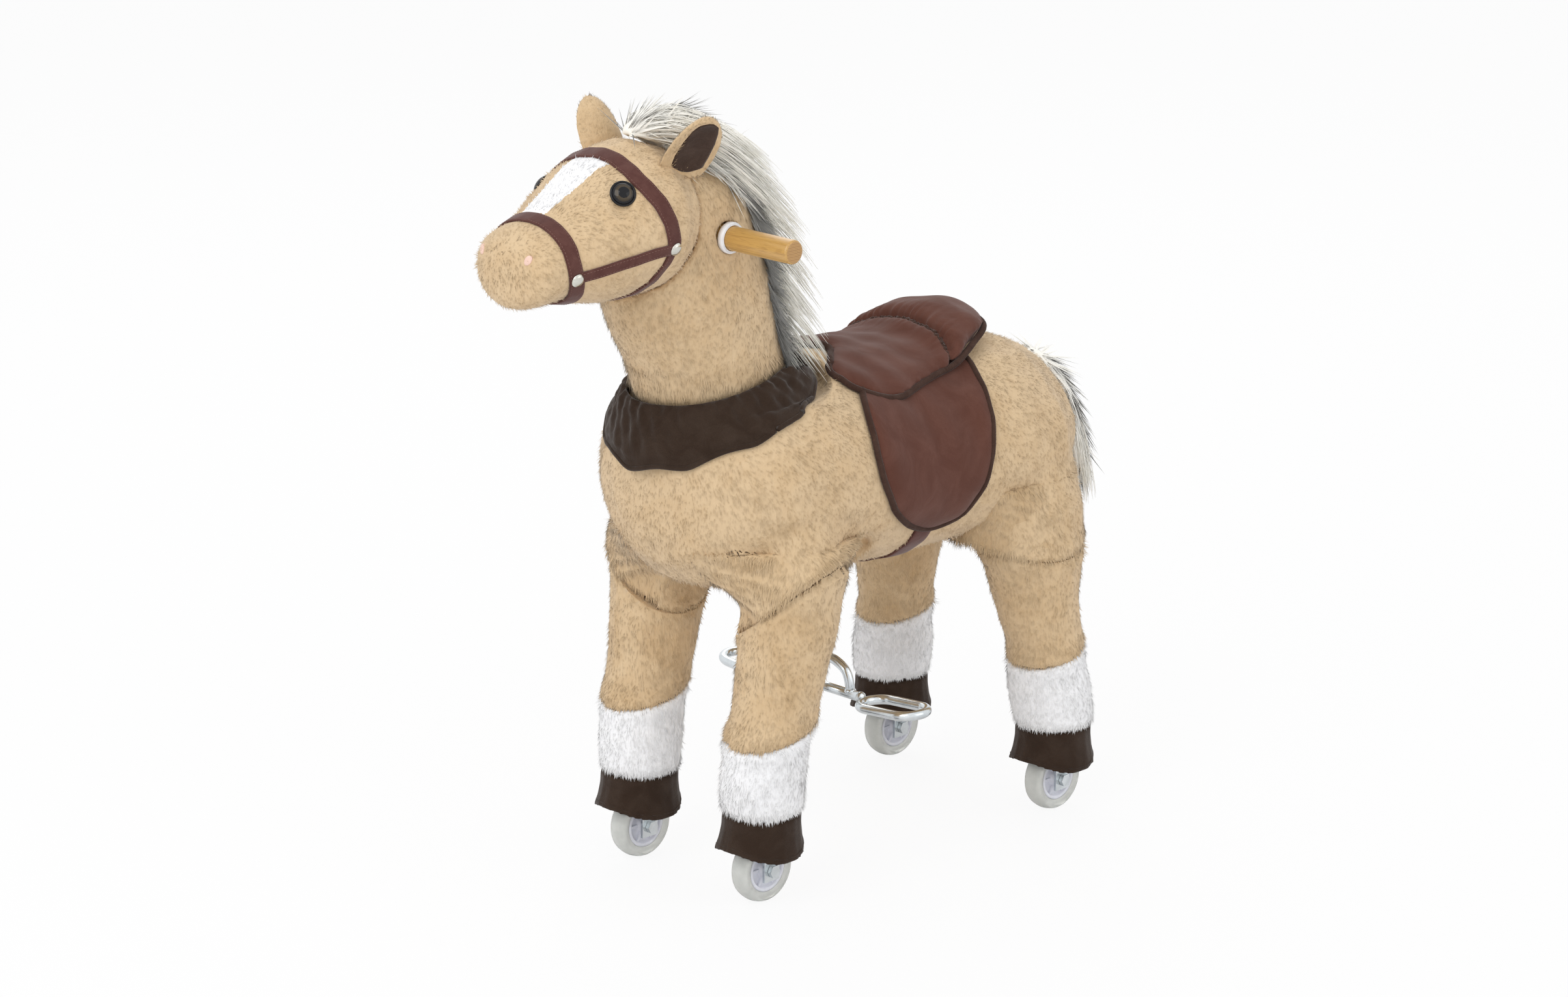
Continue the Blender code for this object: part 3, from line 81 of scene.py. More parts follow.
# Node trees
class Tree:
    def __init__(self, tree):
        self.tree = tree

    def add(self, kind, values=None, **props):
        node = self.tree.nodes.new(kind)
        for key, value in props.items():
            setattr(node, key, value)
        for key, value in (values or {}).items():
            self.put(node.inputs[key], value)
        return node

    def put(self, socket, value):
        if hasattr(value, "is_output"):
            self.tree.links.new(value, socket)
        else:
            socket.default_value = value

    def math(self, operation, first, second=0.0, clamp=False):
        node = self.add("ShaderNodeMath", {0: first, 1: second}, operation=operation, use_clamp=clamp)
        return node.outputs[0]

    def mix(self, share, first, second, blend="MIX"):
        node = self.add("ShaderNodeMix", data_type="RGBA", blend_type=blend)
        self.put(node.inputs["Factor"], share)
        self.put(node.inputs["A"], first)
        self.put(node.inputs["B"], second)
        for index, socket in enumerate(node.inputs):
            if socket.type == "RGBA" and socket.name in ("A", "B"):
                self.put(socket, first if socket.name == "A" else second)
        return [socket for socket in node.outputs if socket.type == "RGBA"][0]

    def ramp(self, value, stops):
        node = self.add("ShaderNodeValToRGB", {0: value})
        elements = node.color_ramp.elements
        while len(elements) < len(stops):
            elements.new(0.5)
        for element, (place, colour) in zip(elements, stops):
            element.position = place
            element.color = (*colour, 1) if len(colour) == 3 else colour
        return node.outputs[0]

    def noise(self, vector, scale, detail=3.0, roughness=0.5, distortion=0.0):
        values = {"Vector": vector, "Scale": scale, "Detail": detail}
        values.update({"Roughness": roughness, "Distortion": distortion})
        return self.add("ShaderNodeTexNoise", values).outputs[0]

    def bump(self, height, strength, distance, normal=None):
        values = {"Height": height, "Strength": strength, "Distance": distance}
        if normal is not None:
            values["Normal"] = normal
        return self.add("ShaderNodeBump", values).outputs[0]


def newGroup(name, inputs, outputs):
    group = bpy.data.node_groups.new(name, "ShaderNodeTree")
    for label, kind, value in inputs:
        socket = group.interface.new_socket(label, in_out="INPUT", socket_type=f"NodeSocket{kind}")
        if value is not None:
            socket.default_value = value
    for label, kind in outputs:
        group.interface.new_socket(label, in_out="OUTPUT", socket_type=f"NodeSocket{kind}")
    tree = Tree(group)
    return tree, group.nodes.new("NodeGroupInput").outputs, group.nodes.new("NodeGroupOutput").inputs


def shade(colour, share):
    return tuple(min(1, part * share) for part in colour[:3]) + (1,)


# Pile: broad patches, fine streaks and a shade of its own for each tuft
tree, given, result = newGroup(
    "pileTone",
    [("Light", "Color", None), ("Dark", "Color", None), ("Patch", "Float", 16.0), ("Streak", "Float", 420.0)],
    [("Color", "Color"), ("Height", "Float")],
)
place = tree.add("ShaderNodeTexCoord").outputs["Object"]
patches = tree.noise(place, given["Patch"], 3.0, 0.55, 0.6)
finer = tree.noise(place, 70.0, 2.0, 0.6, 0.4)
stretched = tree.add("ShaderNodeMapping", {"Vector": place, "Scale": (1.0, 1.0, 0.22)}).outputs[0]
streaks = tree.noise(stretched, given["Streak"], 2.0, 0.7)
tuft = tree.add("ShaderNodeNewGeometry").outputs["Random Per Island"]
share = tree.math("MULTIPLY", tree.math("SUBTRACT", patches, 0.30), 1.35)
share = tree.math("ADD", share, tree.math("MULTIPLY", tree.math("SUBTRACT", finer, 0.5), 0.6))
share = tree.math("ADD", share, tree.math("MULTIPLY", tree.math("SUBTRACT", streaks, 0.5), 0.55))
share = tree.math("ADD", share, tree.math("MULTIPLY", tree.math("SUBTRACT", tuft, 0.5), 0.42), True)
tree.put(result["Color"], tree.mix(share, given["Light"], given["Dark"]))
tree.put(result["Height"], tree.math("ADD", tree.math("MULTIPLY", streaks, 0.7), tree.math("MULTIPLY", finer, 0.6)))

# Cloth: a fine weave or nap, rubbed patches and a soft crumple
tree, given, result = newGroup(
    "clothTone",
    [("Color", "Color", None), ("Worn", "Color", None), ("Grain", "Float", 900.0), ("Crumple", "Float", 28.0)],
    [("Color", "Color"), ("Height", "Float")],
)
place = tree.add("ShaderNodeTexCoord").outputs["Object"]
grain = tree.noise(place, given["Grain"], 2.0, 0.7)
rubbed = tree.noise(place, given["Crumple"], 4.0, 0.62, 0.8)
flecks = tree.noise(place, 330.0, 2.0, 0.8)
share = tree.math("ADD", tree.math("MULTIPLY", tree.math("SUBTRACT", rubbed, 0.38), 1.9), tree.math(
    "MULTIPLY", tree.math("SUBTRACT", grain, 0.5), 1.1), True)
tone = tree.mix(share, given["Color"], given["Worn"])
tone = tree.mix(tree.math("MULTIPLY", tree.math("GREATER_THAN", flecks, 0.745), 0.5), tone, given["Worn"])
tree.put(result["Color"], tone)
tree.put(result["Height"], tree.math("ADD", tree.math("MULTIPLY", grain, 0.35), tree.math("MULTIPLY", rubbed, 1.2)))


def newMaterial(name, roughness=0.5, **values):
    material = bpy.data.materials.new(name)
    material.use_nodes = True
    shader = material.node_tree.nodes["Principled BSDF"]
    shader.inputs["Roughness"].default_value = roughness
    for key, value in values.items():
        shader.inputs[key.replace("_", " ")].default_value = value
    return material, Tree(material.node_tree), shader


def useGroup(tree, name, values):
    node = tree.add("ShaderNodeGroup", node_tree=bpy.data.node_groups[name])
    for key, value in values.items():
        tree.put(node.inputs[key], value)
    return node.outputs


def pileMaterial(name, light, dark, sheen, mask, depth):
    material, tree, shader = newMaterial(name, 0.88, Sheen_Weight=sheen, Sheen_Roughness=0.45)
    shader.inputs["Specular IOR Level"].default_value = 0.15
    pile = useGroup(tree, "pileTone", {"Light": light, "Dark": dark})
    colour = pile["Color"]
    if mask:
        colour = mask(tree, colour)
    tree.put(shader.inputs["Base Color"], colour)
    if depth:
        tree.put(shader.inputs["Normal"], tree.bump(pile["Height"], 0.55, depth))
    return material


blaze = {"topY": -0.305, "lowY": -0.389, "topHalf": 0.029, "lowHalf": 0.0185, "topX": -0.003, "lowX": -0.013,
         "lowZ": 0.775}


def blazeMask(tree, colour):
    # a white wedge on the brow, wider towards the crown strap
    place = tree.add("ShaderNodeTexCoord").outputs["Object"]
    parts = tree.add("ShaderNodeSeparateXYZ", {0: place}).outputs

    def upTheBrow(low, top):
        values = {"Value": parts["Y"], "From Min": blaze["lowY"], "From Max": blaze["topY"]}
        return tree.add("ShaderNodeMapRange", {**values, "To Min": low, "To Max": top}).outputs[0]

    half = upTheBrow(blaze["lowHalf"], blaze["topHalf"])
    ragged = tree.math("MULTIPLY", tree.math("SUBTRACT", tree.noise(place, 260.0, 2.0), 0.5), 0.006)
    middle = upTheBrow(blaze["lowX"], blaze["topX"])
    across = tree.math("ADD", tree.math("ABSOLUTE", tree.math("SUBTRACT", parts["X"], middle)), ragged)
    inside = tree.math("LESS_THAN", across, half)
    below = tree.math("GREATER_THAN", tree.math("ADD", parts["Y"], ragged), blaze["lowY"])
    above = tree.math("LESS_THAN", parts["Y"], blaze["topY"])
    high = tree.math("GREATER_THAN", parts["Z"], blaze["lowZ"])
    inside = tree.math("MULTIPLY", tree.math("MULTIPLY", inside, below), tree.math("MULTIPLY", above, high))
    return tree.mix(inside, colour, (0.97, 0.97, 0.98, 1))


# light colour, dark colour, sheen, mask and depth of the bump
tan = ((0.705, 0.525, 0.325, 1), (0.545, 0.365, 0.190, 1), 0.22)
furs = {
    "tanFur": (*tan, None, 0.0022),
    "headFur": (*tan, blazeMask, 0.0022),
    "whiteFur": ((0.95, 0.95, 0.96, 1), (0.89, 0.895, 0.91, 1), 0.25, None, 0.0022),
    "tanTuft": (*tan, None, 0),
    "headTuft": (*tan, blazeMask, 0),
    "whiteTuft": ((0.99, 0.99, 0.99, 1), (0.96, 0.96, 0.965, 1), 0.25, None, 0),
    "creamHair": ((1.0, 0.985, 0.93, 1), (0.96, 0.925, 0.83, 1), 0.25, None, 0),
}
finishes = {name: pileMaterial(name, *look) for name, look in furs.items()}
hairShader = finishes["creamHair"].node_tree.nodes["Principled BSDF"]
hairShader.inputs["Roughness"].default_value = 0.6


def clothMaterial(name, colour, worn, grain, crumple, depth, sheen):
    material, tree, shader = newMaterial(name, 0.95, Sheen_Weight=sheen, Sheen_Roughness=0.4)
    shader.inputs["Specular IOR Level"].default_value = 0.08
    cloth = useGroup(tree, "clothTone", {"Color": colour, "Worn": worn, "Grain": grain, "Crumple": crumple})
    tree.put(shader.inputs["Base Color"], cloth["Color"])
    tree.put(shader.inputs["Normal"], tree.bump(cloth["Height"], 0.6, depth))
    finishes[name] = material


clothMaterial("suede", (0.036, 0.022, 0.015, 1), (0.062, 0.042, 0.031, 1), 1100.0, 34.0, 0.0018, 0.25)
clothMaterial("velour", (0.108, 0.042, 0.029, 1), (0.158, 0.070, 0.052, 1), 1300.0, 24.0, 0.0010, 0.22)
clothMaterial("binding", (0.060, 0.032, 0.024, 1), (0.095, 0.055, 0.042, 1), 1500.0, 60.0, 0.0008, 0.25)
clothMaterial("webbing", (0.098, 0.040, 0.034, 1), (0.150, 0.070, 0.058, 1), 1600.0, 70.0, 0.0006, 0.3)
clothMaterial("earLining", (0.050, 0.030, 0.022, 1), (0.090, 0.058, 0.045, 1), 900.0, 50.0, 0.0010, 0.3)


def woodMaterial(name, ends):
    material, tree, shader = newMaterial(name, 0.32, Coat_Weight=0.35, Coat_Roughness=0.15)
    place = tree.add("ShaderNodeTexCoord").outputs["Object"]
    if ends:
        rings = tree.add("ShaderNodeTexWave", {"Vector": place, "Scale": 95.0, "Distortion": 1.4, "Detail": 2.0})
        rings.bands_direction = "Z"
        grain = rings.outputs[1]
        stops = ((0.0, (0.36, 0.185, 0.055)), (0.5, (0.56, 0.32, 0.11)), (1.0, (0.42, 0.225, 0.07)))
    else:
        drawn = tree.add("ShaderNodeMapping", {"Vector": place, "Scale": (0.06, 1, 1)}).outputs[0]
        grain = tree.noise(drawn, 190.0, 5.0, 0.62, 1.2)
        stops = ((0.28, (0.39, 0.205, 0.052)), (0.5, (0.59, 0.345, 0.10)), (0.72, (0.50, 0.28, 0.078)))
    colour = tree.ramp(grain, stops)
    pores = tree.add("ShaderNodeMapping", {"Vector": place, "Scale": (0.05, 1, 1)}).outputs[0]
    pores = tree.noise(pores, 900.0, 2.0, 0.6)
    share = tree.math("MULTIPLY", tree.math("LESS_THAN", pores, 0.39), 0.35)
    colour = tree.mix(share, colour, (0.33, 0.17, 0.05, 1))
    tree.put(shader.inputs["Base Color"], colour)
    tree.put(shader.inputs["Normal"], tree.bump(grain, 0.12, 0.0006))
    finishes[name] = material


woodMaterial("wood", False)
woodMaterial("woodEnd", True)


def metalMaterial(name, light, dark, roughness, metallic):
    material, tree, shader = newMaterial(name, roughness, Metallic=metallic)
    place = tree.add("ShaderNodeTexCoord").outputs["Object"]
    cloud = tree.noise(place, 60.0, 4.0, 0.6, 0.5)
    scuffs = tree.noise(place, 700.0, 3.0, 0.7)
    tree.put(shader.inputs["Base Color"], tree.ramp(cloud, ((0.3, dark), (0.65, light))))
    tree.put(shader.inputs["Roughness"], tree.math("ADD", roughness - 0.06, tree.math("MULTIPLY", scuffs, 0.14)))
    tree.put(shader.inputs["Normal"], tree.bump(scuffs, 0.10, 0.0004))
    finishes[name] = material


metalMaterial("zinc", (0.74, 0.78, 0.80), (0.60, 0.64, 0.66), 0.20, 1.0)
metalMaterial("stud", (0.72, 0.71, 0.64), (0.62, 0.61, 0.55), 0.22, 1.0)
metalMaterial("paintedSteel", (0.55, 0.59, 0.64), (0.48, 0.52, 0.57), 0.42, 0.3)
metalMaterial("bearing", (0.16, 0.16, 0.17), (0.10, 0.10, 0.11), 0.35, 0.8)


def plasticMaterial(name, colour, roughness, **values):
    material, tree, shader = newMaterial(name, roughness, **values)
    place = tree.add("ShaderNodeTexCoord").outputs["Object"]
    cloud = tree.noise(place, 90.0, 3.0, 0.6)
    speckle = tree.noise(place, 1200.0, 2.0, 0.6)
    stops = ((0.3, shade(colour, 0.93)), (0.7, shade(colour, 1.04)))
    tree.put(shader.inputs["Base Color"], tree.ramp(cloud, stops))
    tree.put(shader.inputs["Normal"], tree.bump(speckle, 0.08, 0.0003))
    finishes[name] = material


plasticMaterial("urethane", (0.93, 0.94, 0.90), 0.20, Transmission_Weight=0.5, IOR=1.36)
plasticMaterial("hub", (0.84, 0.85, 0.92), 0.28)
plasticMaterial("grommet", (0.90, 0.90, 0.92), 0.35)
plasticMaterial("core", (0.60, 0.62, 0.62), 0.4)
plasticMaterial("pink", (0.86, 0.60, 0.50), 0.75)
plasticMaterial("thread", (0.62, 0.56, 0.46), 0.8)
plasticMaterial("brownThread", (0.20, 0.10, 0.08), 0.8)

eyeLook = {"pupil": 0.0058, "iris": 0.0098}


def eyeMaterial(name, centre, normal):
    # dark pupil and a brown ring round it, under one clear gloss
    material, tree, shader = newMaterial(name, 0.08, Specular_IOR_Level=0.32)
    place = tree.add("ShaderNodeTexCoord").outputs["Object"]
    away = tree.add("ShaderNodeVectorMath", {0: place, 1: tuple(centre)}, operation="SUBTRACT").outputs[0]
    flat = tree.add("ShaderNodeVectorMath", {0: away, 1: tuple(normal)}, operation="CROSS_PRODUCT").outputs[0]
    spread = tree.add("ShaderNodeVectorMath", {0: flat}, operation="LENGTH").outputs["Value"]
    veins = tree.math("MULTIPLY", tree.math("SUBTRACT", tree.noise(place, 900.0, 3.0), 0.5), 0.0012)
    spread = tree.math("DIVIDE", tree.math("ADD", spread, veins), eyeLook["iris"] * 1.25)
    black = (0.006, 0.006, 0.008)
    inner = eyeLook["pupil"] / (eyeLook["iris"] * 1.25)
    tree.put(shader.inputs["Base Color"], tree.ramp(spread, (
        (0.0, black), (inner, black), (inner + 0.05, (0.072, 0.052, 0.030)), (0.74, (0.045, 0.034, 0.022)),
        (0.80, black))))
    finishes[name] = material


print("scene: materials done")


# Meshes
def meshFromArrays(name, points, triangles):
    mesh = bpy.data.meshes.new(name)
    mesh.vertices.add(len(points))
    mesh.vertices.foreach_set("co", np.ascontiguousarray(points, np.float32).ravel())
    mesh.loops.add(triangles.size)
    mesh.loops.foreach_set("vertex_index", np.ascontiguousarray(triangles, np.int32).ravel())
    mesh.polygons.add(len(triangles))
    mesh.polygons.foreach_set("loop_start", np.arange(0, triangles.size, triangles.shape[1], dtype=np.int32))
    mesh.update(calc_edges=True)
    return mesh


def smoothShade(mesh):
    mesh.polygons.foreach_set("use_smooth", np.ones(len(mesh.polygons), bool))


def placePoints(mesh, points):
    mesh.vertices.foreach_set("co", points.astype(np.float32).ravel())
    mesh.update()


def normalsOf(mesh):
    normals = np.empty(len(mesh.vertices) * 3, np.float32)
    mesh.vertex_normals.foreach_get("vector", normals)
    return normals.reshape(-1, 3)


def bmeshToMesh(name, data):
    mesh = bpy.data.meshes.new(name)
    data.to_mesh(mesh)
    data.free()
    return mesh


def meshFromFaces(name, points, faces):
    # a smooth mesh whose faces all look outwards
    mesh = bpy.data.meshes.new(name)
    mesh.from_pydata(points, [], faces)
    data = bmesh.new()
    data.from_mesh(mesh)
    bmesh.ops.recalc_face_normals(data, faces=data.faces)
    data.to_mesh(mesh)
    data.free()
    smoothShade(mesh)
    return mesh


def addPiece(name, mesh, finish, body, replaced=()):
    thing = bpy.data.objects.new(name, mesh)
    scene.collection.objects.link(thing)
    if finish:
        mesh.materials.append(finishes[finish])
    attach(thing, body)
    if replaced:
        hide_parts(*replaced)
    return thing


def ringsMesh(name, rings, closed=False, capped=True):
    # rings of equal count; the last joins the first when closed
    count = len(rings[0])
    points = np.array([tuple(point) for ring in rings for point in ring])
    faces = []
    spans = len(rings) if closed else len(rings) - 1
    for index in range(spans):
        low = index * count
        high = ((index + 1) % len(rings)) * count
        for step in range(count):
            after = (step + 1) % count
            faces.append((low + step, low + after, high + after, high + step))
    if capped and not closed:
        faces.append(tuple(range(count))[::-1])
        faces.append(tuple(range((len(rings) - 1) * count, len(rings) * count)))
    return meshFromFaces(name, points.tolist(), faces)


def lathe(name, profile, centre, steps=72):
    # a closed profile of (radius, height) turned about the X axis
    rings = []
    for step in range(steps):
        angle = 2 * math.pi * step / steps
        rings.append([
            centre + Vector((height, radius * math.cos(angle), radius * math.sin(angle)))
            for radius, height in profile
        ])
    return ringsMesh(name, rings, closed=True)


def tubeMesh(name, path, radius, sides=16, closed=False, up=None):
    rings = []
    count = len(path)
    for index, place in enumerate(path):
        before = path[index - 1] if closed else path[max(index - 1, 0)]
        after = path[(index + 1) % count] if closed else path[min(index + 1, count - 1)]
        along = (Vector(after) - Vector(before)).normalized()
        guide = up or (Vector((0, 1, 0)) if abs(along.y) < 0.9 else Vector((0, 0, 1)))
        side = along.cross(guide).normalized()
        other = along.cross(side).normalized()
        size = radius[index] if hasattr(radius, "__len__") else radius
        rings.append([
            Vector(place) + size * (math.cos(2 * math.pi * step / sides) * side
                                    + math.sin(2 * math.pi * step / sides) * other)
            for step in range(sides)
        ])
    return ringsMesh(name, rings, closed=closed)


def bevelEdges(thing, width, segments=3, angle=40):
    bevel = thing.modifiers.new("soft edges", "BEVEL")
    bevel.width = width
    bevel.segments = segments
    bevel.limit_method = "ANGLE"
    bevel.angle_limit = math.radians(angle)
    return bevel


def evaluated(thing):
    depsgraph = bpy.context.evaluated_depsgraph_get()
    return bpy.data.meshes.new_from_object(thing.evaluated_get(depsgraph))


def arraysOf(mesh):
    points = np.empty(len(mesh.vertices) * 3, np.float32)
    mesh.vertices.foreach_get("co", points)
    edges = np.empty(len(mesh.edges) * 2, np.int32)
    mesh.edges.foreach_get("vertices", edges)
    return points.reshape(-1, 3).astype(float), edges.reshape(-1, 2)


def relax(points, edges, passes, weight):
    # smooths without shrinking; weight 0 holds a point still
    count = len(points)
    degree = np.maximum(np.bincount(edges.ravel(), minlength=count), 1)
    for _ in range(passes):
        for factor in (0.5, -0.52):
            total = np.empty_like(points)
            for axis in range(3):
                total[:, axis] = np.bincount(edges[:, 0], points[edges[:, 1], axis], count)
                total[:, axis] += np.bincount(edges[:, 1], points[edges[:, 0], axis], count)
            points += factor * weight[:, None] * (total / degree[:, None] - points)
    return points


def plump(points, size):
    # the slight unevenness of stuffing
    x, y, z = points.T
    wave = np.sin(x * 61 + y * 37) + np.sin(y * 53 - z * 47 + 1.3) + np.sin(z * 59 + x * 43 + 2.1)
    wave += 0.6 * np.sin(x * 120 - z * 97) + 0.6 * np.sin(y * 111 + z * 83 + 0.7)
    return size * wave / 3


def voxelMesh(name, mesh, voxel):
    # the same form with an even mesh
    source = bpy.data.objects.new(name, mesh)
    scene.collection.objects.link(source)
    remesh = source.modifiers.new("remesh", "REMESH")
    remesh.mode = "VOXEL"
    remesh.voxel_size = voxel
    made = evaluated(source)
    bpy.data.objects.remove(source)
    return made


def softBody(name, node, voxel, passes, finish, body, held=None, snap=None, bulge=0.0012, inset=None):
    # a CAD solid as a softened skin; held and snap keep its seams in place
    mesh = voxelMesh(name + "Source", nodes[node].data.copy(), voxel)
    mesh.materials.clear()
    points, edges = arraysOf(mesh)
    weight = held(points) if held else np.ones(len(points))
    points = relax(points, edges, passes, weight)
    placePoints(mesh, points)
    normals = normalsOf(mesh)
    move = plump(points, bulge) * weight
    if inset:
        move = move - inset(points, normals)
    points += normals * move[:, None]
    if snap:
        points = snap(points)
    placePoints(mesh, points)
    smoothShade(mesh)
    return addPiece(name, mesh, finish, body, (node,))


# Where the legs slide against the body: a ball in front, a drum behind
seams = {"ball": 0.180, "drum": 0.155, "slack": 0.0008, "reach": 0.0075}


def seamReach(points, end):
    if end == "front":
        return np.linalg.norm(points - np.array(steerPoint), axis=1) - seams["ball"]
    return np.hypot(points[:, 1] - rearHinge.y, points[:, 2] - rearHinge.z) - seams["drum"]


def inLegZone(points, end, slack=0.0):
    centre = wheelPlace[f"{end}_left"]
    near = np.abs(np.abs(points[:, 0]) - centre.x) < 0.075 + slack
    return near & (np.abs(points[:, 1] - centre.y) < 0.105 + slack) & (points[:, 2] < 0.415)


def heldTorso(points):
    weight = np.ones(len(points))
    for end in ("front", "rear"):
        near = np.abs(seamReach(points, end)) < seams["reach"]
        weight[near & inLegZone(points, end)] = 0.0
    return weight


def snapTorso(points):
    for end in ("front", "rear"):
        away = seamReach(points, end)
        near = (np.abs(away) < 0.004) & inLegZone(points, end)
        points = pullTo(points, near, away, -seams["slack"], end)
    return points


def pullTo(points, near, away, target, end):
    if end == "front":
        centre = np.array(steerPoint)
        spoke = points - centre
        reach = seams["ball"]
    else:
        spoke = points - np.array(rearHinge)
        spoke[:, 0] = 0
        reach = seams["drum"]
    length = reach + away
    move = spoke * ((reach + target) / length - 1)[:, None]
    points = points.copy()
    points[near] += move[near]
    return points


def legTools(end):
    def held(points):
        weight = np.ones(len(points))
        weight[seamReach(points, end) < seams["reach"] + 0.003] = 0.0
        return weight

    def snap(points):
        away = seamReach(points, end)
        return pullTo(points, away < 0.0068, away, seams["slack"], end)

    return held, snap


# the plush under the pile lies this far inside the finished outline, except where two covers meet
pileRoom = 0.0028
meeting = {"reach": 0.022, "flush": 0.006, "fade": 0.016}


def insetBy(*others):
    trees = []
    for mesh in (nodes[name].data for name in others):
        points = [tuple(vertex.co) for vertex in mesh.vertices]
        trees.append(BVHTree.FromPolygons(points, [tuple(face.vertices) for face in mesh.polygons]))

    def inset(points, normals):
        share = np.ones(len(points))
        for tree in trees:
            for index, point in enumerate(points):
                near = tree.find_nearest(Vector(point), meeting["reach"])[3]
                if near is not None:
                    share[index] = min(share[index], max(0.0, (near - meeting["flush"]) / meeting["fade"]))
        return pileRoom * share
    return inset


def torsoInset(points, normals):
    rump = np.clip((points[:, 1] - 0.215) / 0.09, 0, 1) * np.clip((points[:, 2] - 0.42) / 0.09, 0, 1)
    plain = insetBy(*[f"{corner}_leg" for corner in corners])(points, normals)
    return plain + 0.0085 * rump * rump * (3 - 2 * rump)


voxel = 0.0045
torso = softBody("torsoPlush", "torso", voxel, 60, "tanFur", "chassis", heldTorso, snapTorso,
                 inset=torsoInset)
neck = softBody("neckPlush", "neck", voxel, 50, "tanFur", "steering", inset=insetBy("head"))
head = softBody("headPlush", "head", 0.0035, 40, "headFur", "steering", bulge=0.0007,
                inset=insetBy("neck"))
legs = {}
socks = {}
for corner in corners:
    end = corner.split("_")[0]
    held, snap = legTools(end)
    body = f"{end}_legs"
    legs[corner] = softBody(f"{corner}LegPlush", f"{corner}_leg", 0.0038, 25, "tanFur", body,
                            held, snap, inset=insetBy("torso", f"{corner}_sock"))
    socks[corner] = softBody(f"{corner}SockPlush", f"{corner}_sock", 0.0034, 18, "whiteFur", body,
                             inset=insetBy(f"{corner}_leg", f"{corner}_hoof"))
print("scene: plush bodies done")


def treeOf(*things):
    depsgraph = bpy.context.evaluated_depsgraph_get()
    data = bmesh.new()
    for thing in things:
        data.from_object(thing, depsgraph)
    tree = BVHTree.FromBMesh(data)
    data.free()
    return tree


class Skin:
    # the dressed body or head, by the distance along it and the angle round it
    def __init__(self, thing, middle):
        self.tree = treeOf(thing)
        self.middle = middle

    def hit(self, y, angle):
        centre = Vector((0, y, self.middle(y)))
        out = Vector((math.sin(angle), 0, math.cos(angle)))
        found = self.tree.ray_cast(centre + out * 0.4, -out)[0]
        return found if found is not None else centre

    def at(self, y, angle, proud=0.0, reach=0.007):
        place = self.hit(y, angle)
        turn = reach / max((place - Vector((0, y, self.middle(y)))).length, 0.02)
        ahead = self.hit(y + reach, angle) - self.hit(y - reach, angle)
        across = self.hit(y, angle + turn) - self.hit(y, angle - turn)
        normal = across.cross(ahead).normalized()
        if normal.dot(place - Vector((0, y, self.middle(y)))) < 0:
            normal.negate()
        return place + normal * proud, normal


def stepBetween(value, low, high):
    share = min(1.0, max(0.0, (value - low) / (high - low)))
    return share * share * (3 - 2 * share)


# the body's middle height, and the scale that lays its angles out as lengths
bodyMiddle = 0.44
flatScale = (0.15, 1.0)
bodySkin = Skin(torso, lambda y: bodyMiddle)
headSkin = Skin(head, lambda y: 0.735 + 0.033 * stepBetween(y, -0.42, -0.28))


def smoothLoop(points, passes):
    for _ in range(passes):
        points = 0.5 * points + 0.25 * (np.roll(points, 1, 0) + np.roll(points, -1, 0))
    return points


def resample(points, step, closed=True):
    line = np.vstack([points, points[:1]]) if closed else np.array(points)
    spans = np.linalg.norm(np.diff(line, axis=0), axis=1)
    along = np.concatenate([[0], np.cumsum(spans)])
    count = max(int(round(along[-1] / step)), 3)
    places = np.linspace(0, along[-1], count + (0 if closed else 1), endpoint=not closed)
    return np.stack([np.interp(places, along, line[:, axis]) for axis in range(line.shape[1])], 1)


def softEdge(distance, width):
    return math.sin(min(1.0, max(0.0, distance / width)) * math.pi / 2)


# Saddle: a seat pad with a raised cantle over a skirt, both edged with ribbed binding
# angle round the back in degrees, front edge and back edge along the horse
saddle = {
    "seatEdge": (
        (0, 0.026, 0.250), (10, 0.016, 0.247), (20, -0.014, 0.236), (28, -0.031, 0.214), (35, -0.037, 0.182),
        (39.5, -0.030, 0.152), (40.5, -0.027, 0.124), (44, -0.014, 0.088), (47.5, 0.003, 0.062), (50, 0.018, 0.040),
    ),
    "skirtEdge": (
        (0, 0.040, 0.190), (30, 0.006, 0.182), (52, -0.033, 0.170), (66, -0.043, 0.162), (78, -0.043, 0.154),
        (94, -0.021, 0.142), (105, 0.012, 0.130), (112, 0.044, 0.116), (116, 0.068, 0.094),
    ),
    "seatMiddle": 0.118, "skirtMiddle": 0.060, "seatLift": 0.0060,
    "pad": 0.0078, "edge": 0.0040, "cantle": 0.0150, "seamY": 0.160, "seamCurve": 0.018,
    "bindingRadius": 0.0036, "ribPitch": 0.0017, "ribDepth": 0.00035, "swell": 0.006,
}


def padLoop(rows, count, passes=14):
    # the outline as (angle, y), smoothed at its corners
    right = [(math.radians(angle), front) for angle, front, _ in rows]
    back = [(math.radians(angle), rear) for angle, _, rear in rows][::-1]
    half = right + back
    whole = half + [(-angle, y) for angle, y in half[::-1]][1:-1]
    scaled = np.array(whole) * flatScale
    scaled = resample(scaled, 0.004)
    scaled = smoothLoop(scaled, passes)
    places = resample(scaled, np.linalg.norm(np.diff(scaled, axis=0), axis=1).sum() / count)
    return places / flatScale


